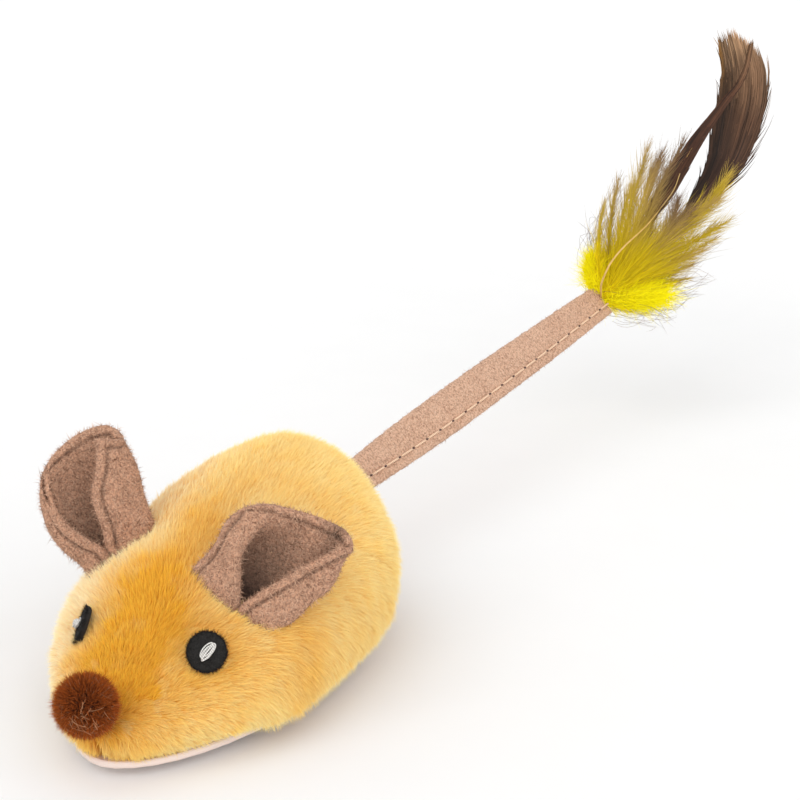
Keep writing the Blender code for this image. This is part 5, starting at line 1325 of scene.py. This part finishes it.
def barbed(middles, spreads, fades, count):
    """Hairs of the wisps.

    A hair leaves its wisp's middle line at a small angle to any side and bends back along it. Its
    tint fades with its share of the line.
    """
    length = run(middles, 0)[-1]
    number = rng.choice(len(length), count, p=length * spreads**0.5 / (length * spreads**0.5).sum())
    share = rng.beta(0.9, 1.5, count) * 0.98
    place = share * (len(middles) - 1)
    low = place.astype(int)
    part = (place - low)[:, None]
    here = middles[low, number] * (1 - part) + middles[low + 1, number] * part
    heading = unit(middles[low + 1, number] - middles[low, number])
    aside = rng.normal(size=(count, 3))
    aside = unit(aside - heading * (aside * heading).sum(1)[:, None])
    leave = (spreads[number] * rng.uniform(0.1, 2.0, count))[:, None]
    lengths = length[number] * 0.40 * (1 - 0.75 * share) * rng.uniform(0.4, 1.2, count)
    bends = -aside * leave * 0.35 + rng.normal(0, 0.09, (count, 3))
    tone = rng.uniform(0.72, 1.15, (count, 1))
    root_tint = toned((share * fades[number]).clip(0, 1), DOWN_STOPS) * tone
    tip_tint = toned(((share + 0.3) * fades[number]).clip(0, 1), DOWN_STOPS) * tone
    widths = rng.uniform(*WISP_WIDTHS, count)
    faces_to = np.tile(FEATHER_FACE, (count, 1))
    shape = here, heading + aside * leave, bends, lengths, widths, faces_to
    return blades(*shape, root_tint, tip_tint, (0.0, 0.35, 0.7))


def stray_hairs():
    """Single thin brown hairs that curl beyond the wisps."""
    angle = rng.uniform(np.radians(-16), np.radians(96), STRAY_HAIRS)
    reach = np.interp(angle, FAN_ANGLES, FAN_REACHES) * rng.uniform(0.60, 1.02, STRAY_HAIRS)
    away = inside_edge(np.cos(angle) * reach + 0.003, rng.uniform(0.2, 0.7, STRAY_HAIRS) * reach)
    end = seen(np.cos(angle) * reach, np.sin(angle) * reach, away)
    part = np.linspace(0.35, 1, 8)[:, None, None]
    bow = rng.normal(0, 0.0030, (STRAY_HAIRS, 3))
    hook = rng.normal(0, 0.0022, (STRAY_HAIRS, 3))
    lines = TUFT_POINT + end * part + bow * 4 * part * (1 - part) + hook * np.clip(part - 0.75, 0, 1) * 4
    brown = light_of(srgb(104, 80, 60))
    tints = np.broadcast_to(brown, lines.shape) * rng.uniform(0.7, 2.2, (STRAY_HAIRS, 1))
    widths = np.full((8, STRAY_HAIRS), STRAY_WIDTH)
    return ribbons(lines, widths, np.tile(FEATHER_FACE, (STRAY_HAIRS, 1)), tints)


def puff(count, middle, spread, heading, lengths, tint):
    """A soft cloud of loose down: fibres scattered by a normal law round its middle, as it is seen."""
    places = (np.array(middle) + rng.normal(0, 1, (count, 3)) * np.array(spread)) / 1000
    here = TUFT_POINT + seen(*places.T)
    way = unit(seen(*np.array(heading, float)))
    heads = unit(way + rng.normal(0, 0.5, (count, 3)))
    colour = light_of(tint) * rng.uniform(0.85, 1.08, (count, 1))
    reach = rng.uniform(*lengths, count) / 1000
    faces_to = np.tile(FEATHER_FACE, (count, 1))
    widths = np.full(count, PUFF_WIDTH)
    return blades(here, heads, rng.normal(0, 0.25, (count, 3)), reach, widths, faces_to, colour, colour)


def merged(*parts):
    """Fibres of several calls as one: points, faces and tints."""
    points, faces = joined([(part[0], *part[1]) for part in parts])
    return points, faces, np.concatenate([part[2] for part in parts])


def quill_horn(name):
    """Horn of a quill, clear gold with darker streaks along it."""
    finish, shader, shade = new_finish(name, 0.35)
    streaks = object_noise(shade, 800.0)
    paint(shade, shader, streaks, srgb(236, 200, 120), srgb(196, 148, 66))
    bumped(shade, shader, streaks, 0.00005)
    return finish


DOWN_STOPS = [
    (0.0, srgb(244, 222, 0)),
    (0.2, srgb(228, 202, 4)),
    (0.42, srgb(200, 172, 30)),
    (0.62, srgb(196, 166, 84)),
    (0.8, srgb(166, 134, 92)),
    (1.0, srgb(110, 84, 62)),
]
DARK_BROWN = [
    (0.0, srgb(120, 86, 20)),
    (0.14, srgb(84, 52, 22)),
    (0.6, srgb(58, 33, 20)),
    (0.85, srgb(74, 46, 30)),
    (1.0, srgb(110, 80, 56)),
]
TAUPE = [
    (0.0, srgb(150, 116, 30)),
    (0.35, srgb(72, 46, 28)),
    (0.62, srgb(56, 36, 26)),
    (0.78, srgb(76, 52, 36)),
    (0.9, srgb(124, 94, 70)),
    (1.0, srgb(176, 140, 106)),
]

horn = quill_horn("golden_quill")
vane_finish = fibre_finish("satin_vane", 0.6, 0.0)
down_finish = fibre_finish("yellow_down", 0.85, 0.0, 0.04)
long_axis = smooth_line(tuft_place(LONG_LINE, VANE_ASIDE), SHAFT_STATIONS)
broad_axis = smooth_line(tuft_place(BROAD_LINE, -VANE_ASIDE), SHAFT_STATIONS)
points, *faces = tube_mesh(smooth_line(tuft_place(QUILL_LINE), 60), np.linspace(0.00030, 0.00010, 60))
quill = new_piece("gold_quill", points, faces, horn)
shafts = [tube_mesh(line[:150], np.linspace(0.0004, 0.0001, 150), 6) for line in (long_axis, broad_axis)]
shaft_piece = new_piece("vane_shafts", *joined(shafts), horn)
long_edges = srgb(120, 84, 60), srgb(84, 58, 44)
broad_edges = srgb(196, 152, 112), srgb(176, 122, 48)
long_vane = vane(long_axis, LONG_LINE, LONG_HALF_WIDTHS, LONG_STRANDS, DARK_BROWN, long_edges)
broad_shape = broad_axis, BROAD_LINE, BROAD_HALF_WIDTHS, BROAD_STRANDS
broad_vane = vane(*broad_shape, TAUPE, broad_edges, RIGHT_SIDE_SHORTER, DARK_SIDE_TONE)
spreads, fades = np.array(WISP_SPREADS) / 100, np.array(WISP_FADES) / 100
tuft_down = merged(barbed(wisp_middles(), spreads, fades, WISP_HAIRS), stray_hairs())
bright = srgb(252, 240, 0)
gold = srgb(206, 176, 6)
puffs = merged(
    puff(4000, (-1.4, 6.6, 0.5), (0.8, 2.0, 1.3), (-0.15, 1.0, 0.3), (2, 6), bright),
    puff(8000, (8.6, 1.2, 0.5), (3.6, 1.2, 1.6), (1.0, 0.30, 0.5), (2, 7), bright),
    puff(7000, (4.6, 5.6, 2.0), (2.6, 2.6, 2.0), (0.6, 0.8, 0.5), (2, 7), gold),
)


def feather_piece(name, parts, finish, slot, *nodes):
    points, faces, tint = parts
    fitted(new_piece(name, points, faces, finish, tint), "feathers", slot, *nodes)


fitted(quill, "feathers", "golden_quill", "feather_quill")
fitted(shaft_piece, "feathers", "golden_quill")
feather_piece("long_brown_vane", long_vane, vane_finish, "brown_feather", "brown_feather_long")
feather_piece("broad_brown_vane", broad_vane, vane_finish, "brown_feather", "brown_feather_short")
feather_piece("down_wisps", tuft_down, down_finish, "yellow_marabou", "marabou_fluff")
feather_piece("down_puffs", puffs, down_finish, "yellow_marabou")

# Studio
# The toy stands on plain white paper, under a broad lamp from the upper left and soft light all round.

FLOOR_HEIGHT = -0.003
FLOOR_SIDE = 6.0
KEY_STRENGTH = 1.00
FILL_STRENGTH = 0.75
LAMP_SPREAD = 60.0
SKY_STRENGTH = 0.73


def paper(name):
    finish, shader, shade = new_finish(name, 0.95)
    grain = object_noise(shade, 60.0)
    paint(shade, shader, grain, (0.93, 0.93, 0.93, 1.0), (0.95, 0.95, 0.95, 1.0))
    return finish


corners = np.array([[-1, -1], [1, -1], [1, 1], [-1, 1]]) * FLOOR_SIDE / 2
points = np.concatenate([corners, np.full((4, 1), FLOOR_HEIGHT)], 1)
floor = new_piece("floor", points, [np.array([[0, 1, 2, 3]])], paper("floor_paper"))


def lamp(name, heading, strength, spread):
    """A distant soft box, its spread in degrees wide in the sky, that shines along its heading."""
    light = bpy.data.lights.new(name, "SUN")
    light.energy = strength
    light.angle = np.radians(spread)
    made = bpy.data.objects.new(name, light)
    made.matrix_world = Vector(heading).to_track_quat("-Z", "Y").to_matrix().to_4x4()
    bpy.context.scene.collection.objects.link(made)


lamp("key", (0.12, 0.72, -0.80), KEY_STRENGTH, LAMP_SPREAD)
lamp("fill", (-0.8, 0.4, -0.5), FILL_STRENGTH, LAMP_SPREAD)
world = bpy.data.worlds.new("world")
bpy.context.scene.world = world
world.use_nodes = True
sky = Shade(world.node_tree)
ambient = world.node_tree.nodes["Background"]
ambient.inputs["Color"].default_value = (1.0, 1.0, 1.0, 1.0)
ambient.inputs["Strength"].default_value = SKY_STRENGTH
behind = sky.node("ShaderNodeBackground", None, {"Color": (1.0, 1.0, 1.0, 1.0), "Strength": 1.0})
path = sky.node("ShaderNodeLightPath", output="Is Camera Ray")
outputs = path.socket.node.outputs
glossy = Shade(sky.tree, outputs["Is Glossy Ray"])
through_glass = Shade(sky.tree, outputs["Is Transmission Ray"])
parts = {0: path + glossy + through_glass, 1: Shade(sky.tree, ambient.outputs[0]), 2: behind}
both = sky.node("ShaderNodeMixShader", None, parts)
sky.feed(world.node_tree.nodes["World Output"].inputs["Surface"], both)
bpy.context.scene.view_settings.view_transform = "Standard"
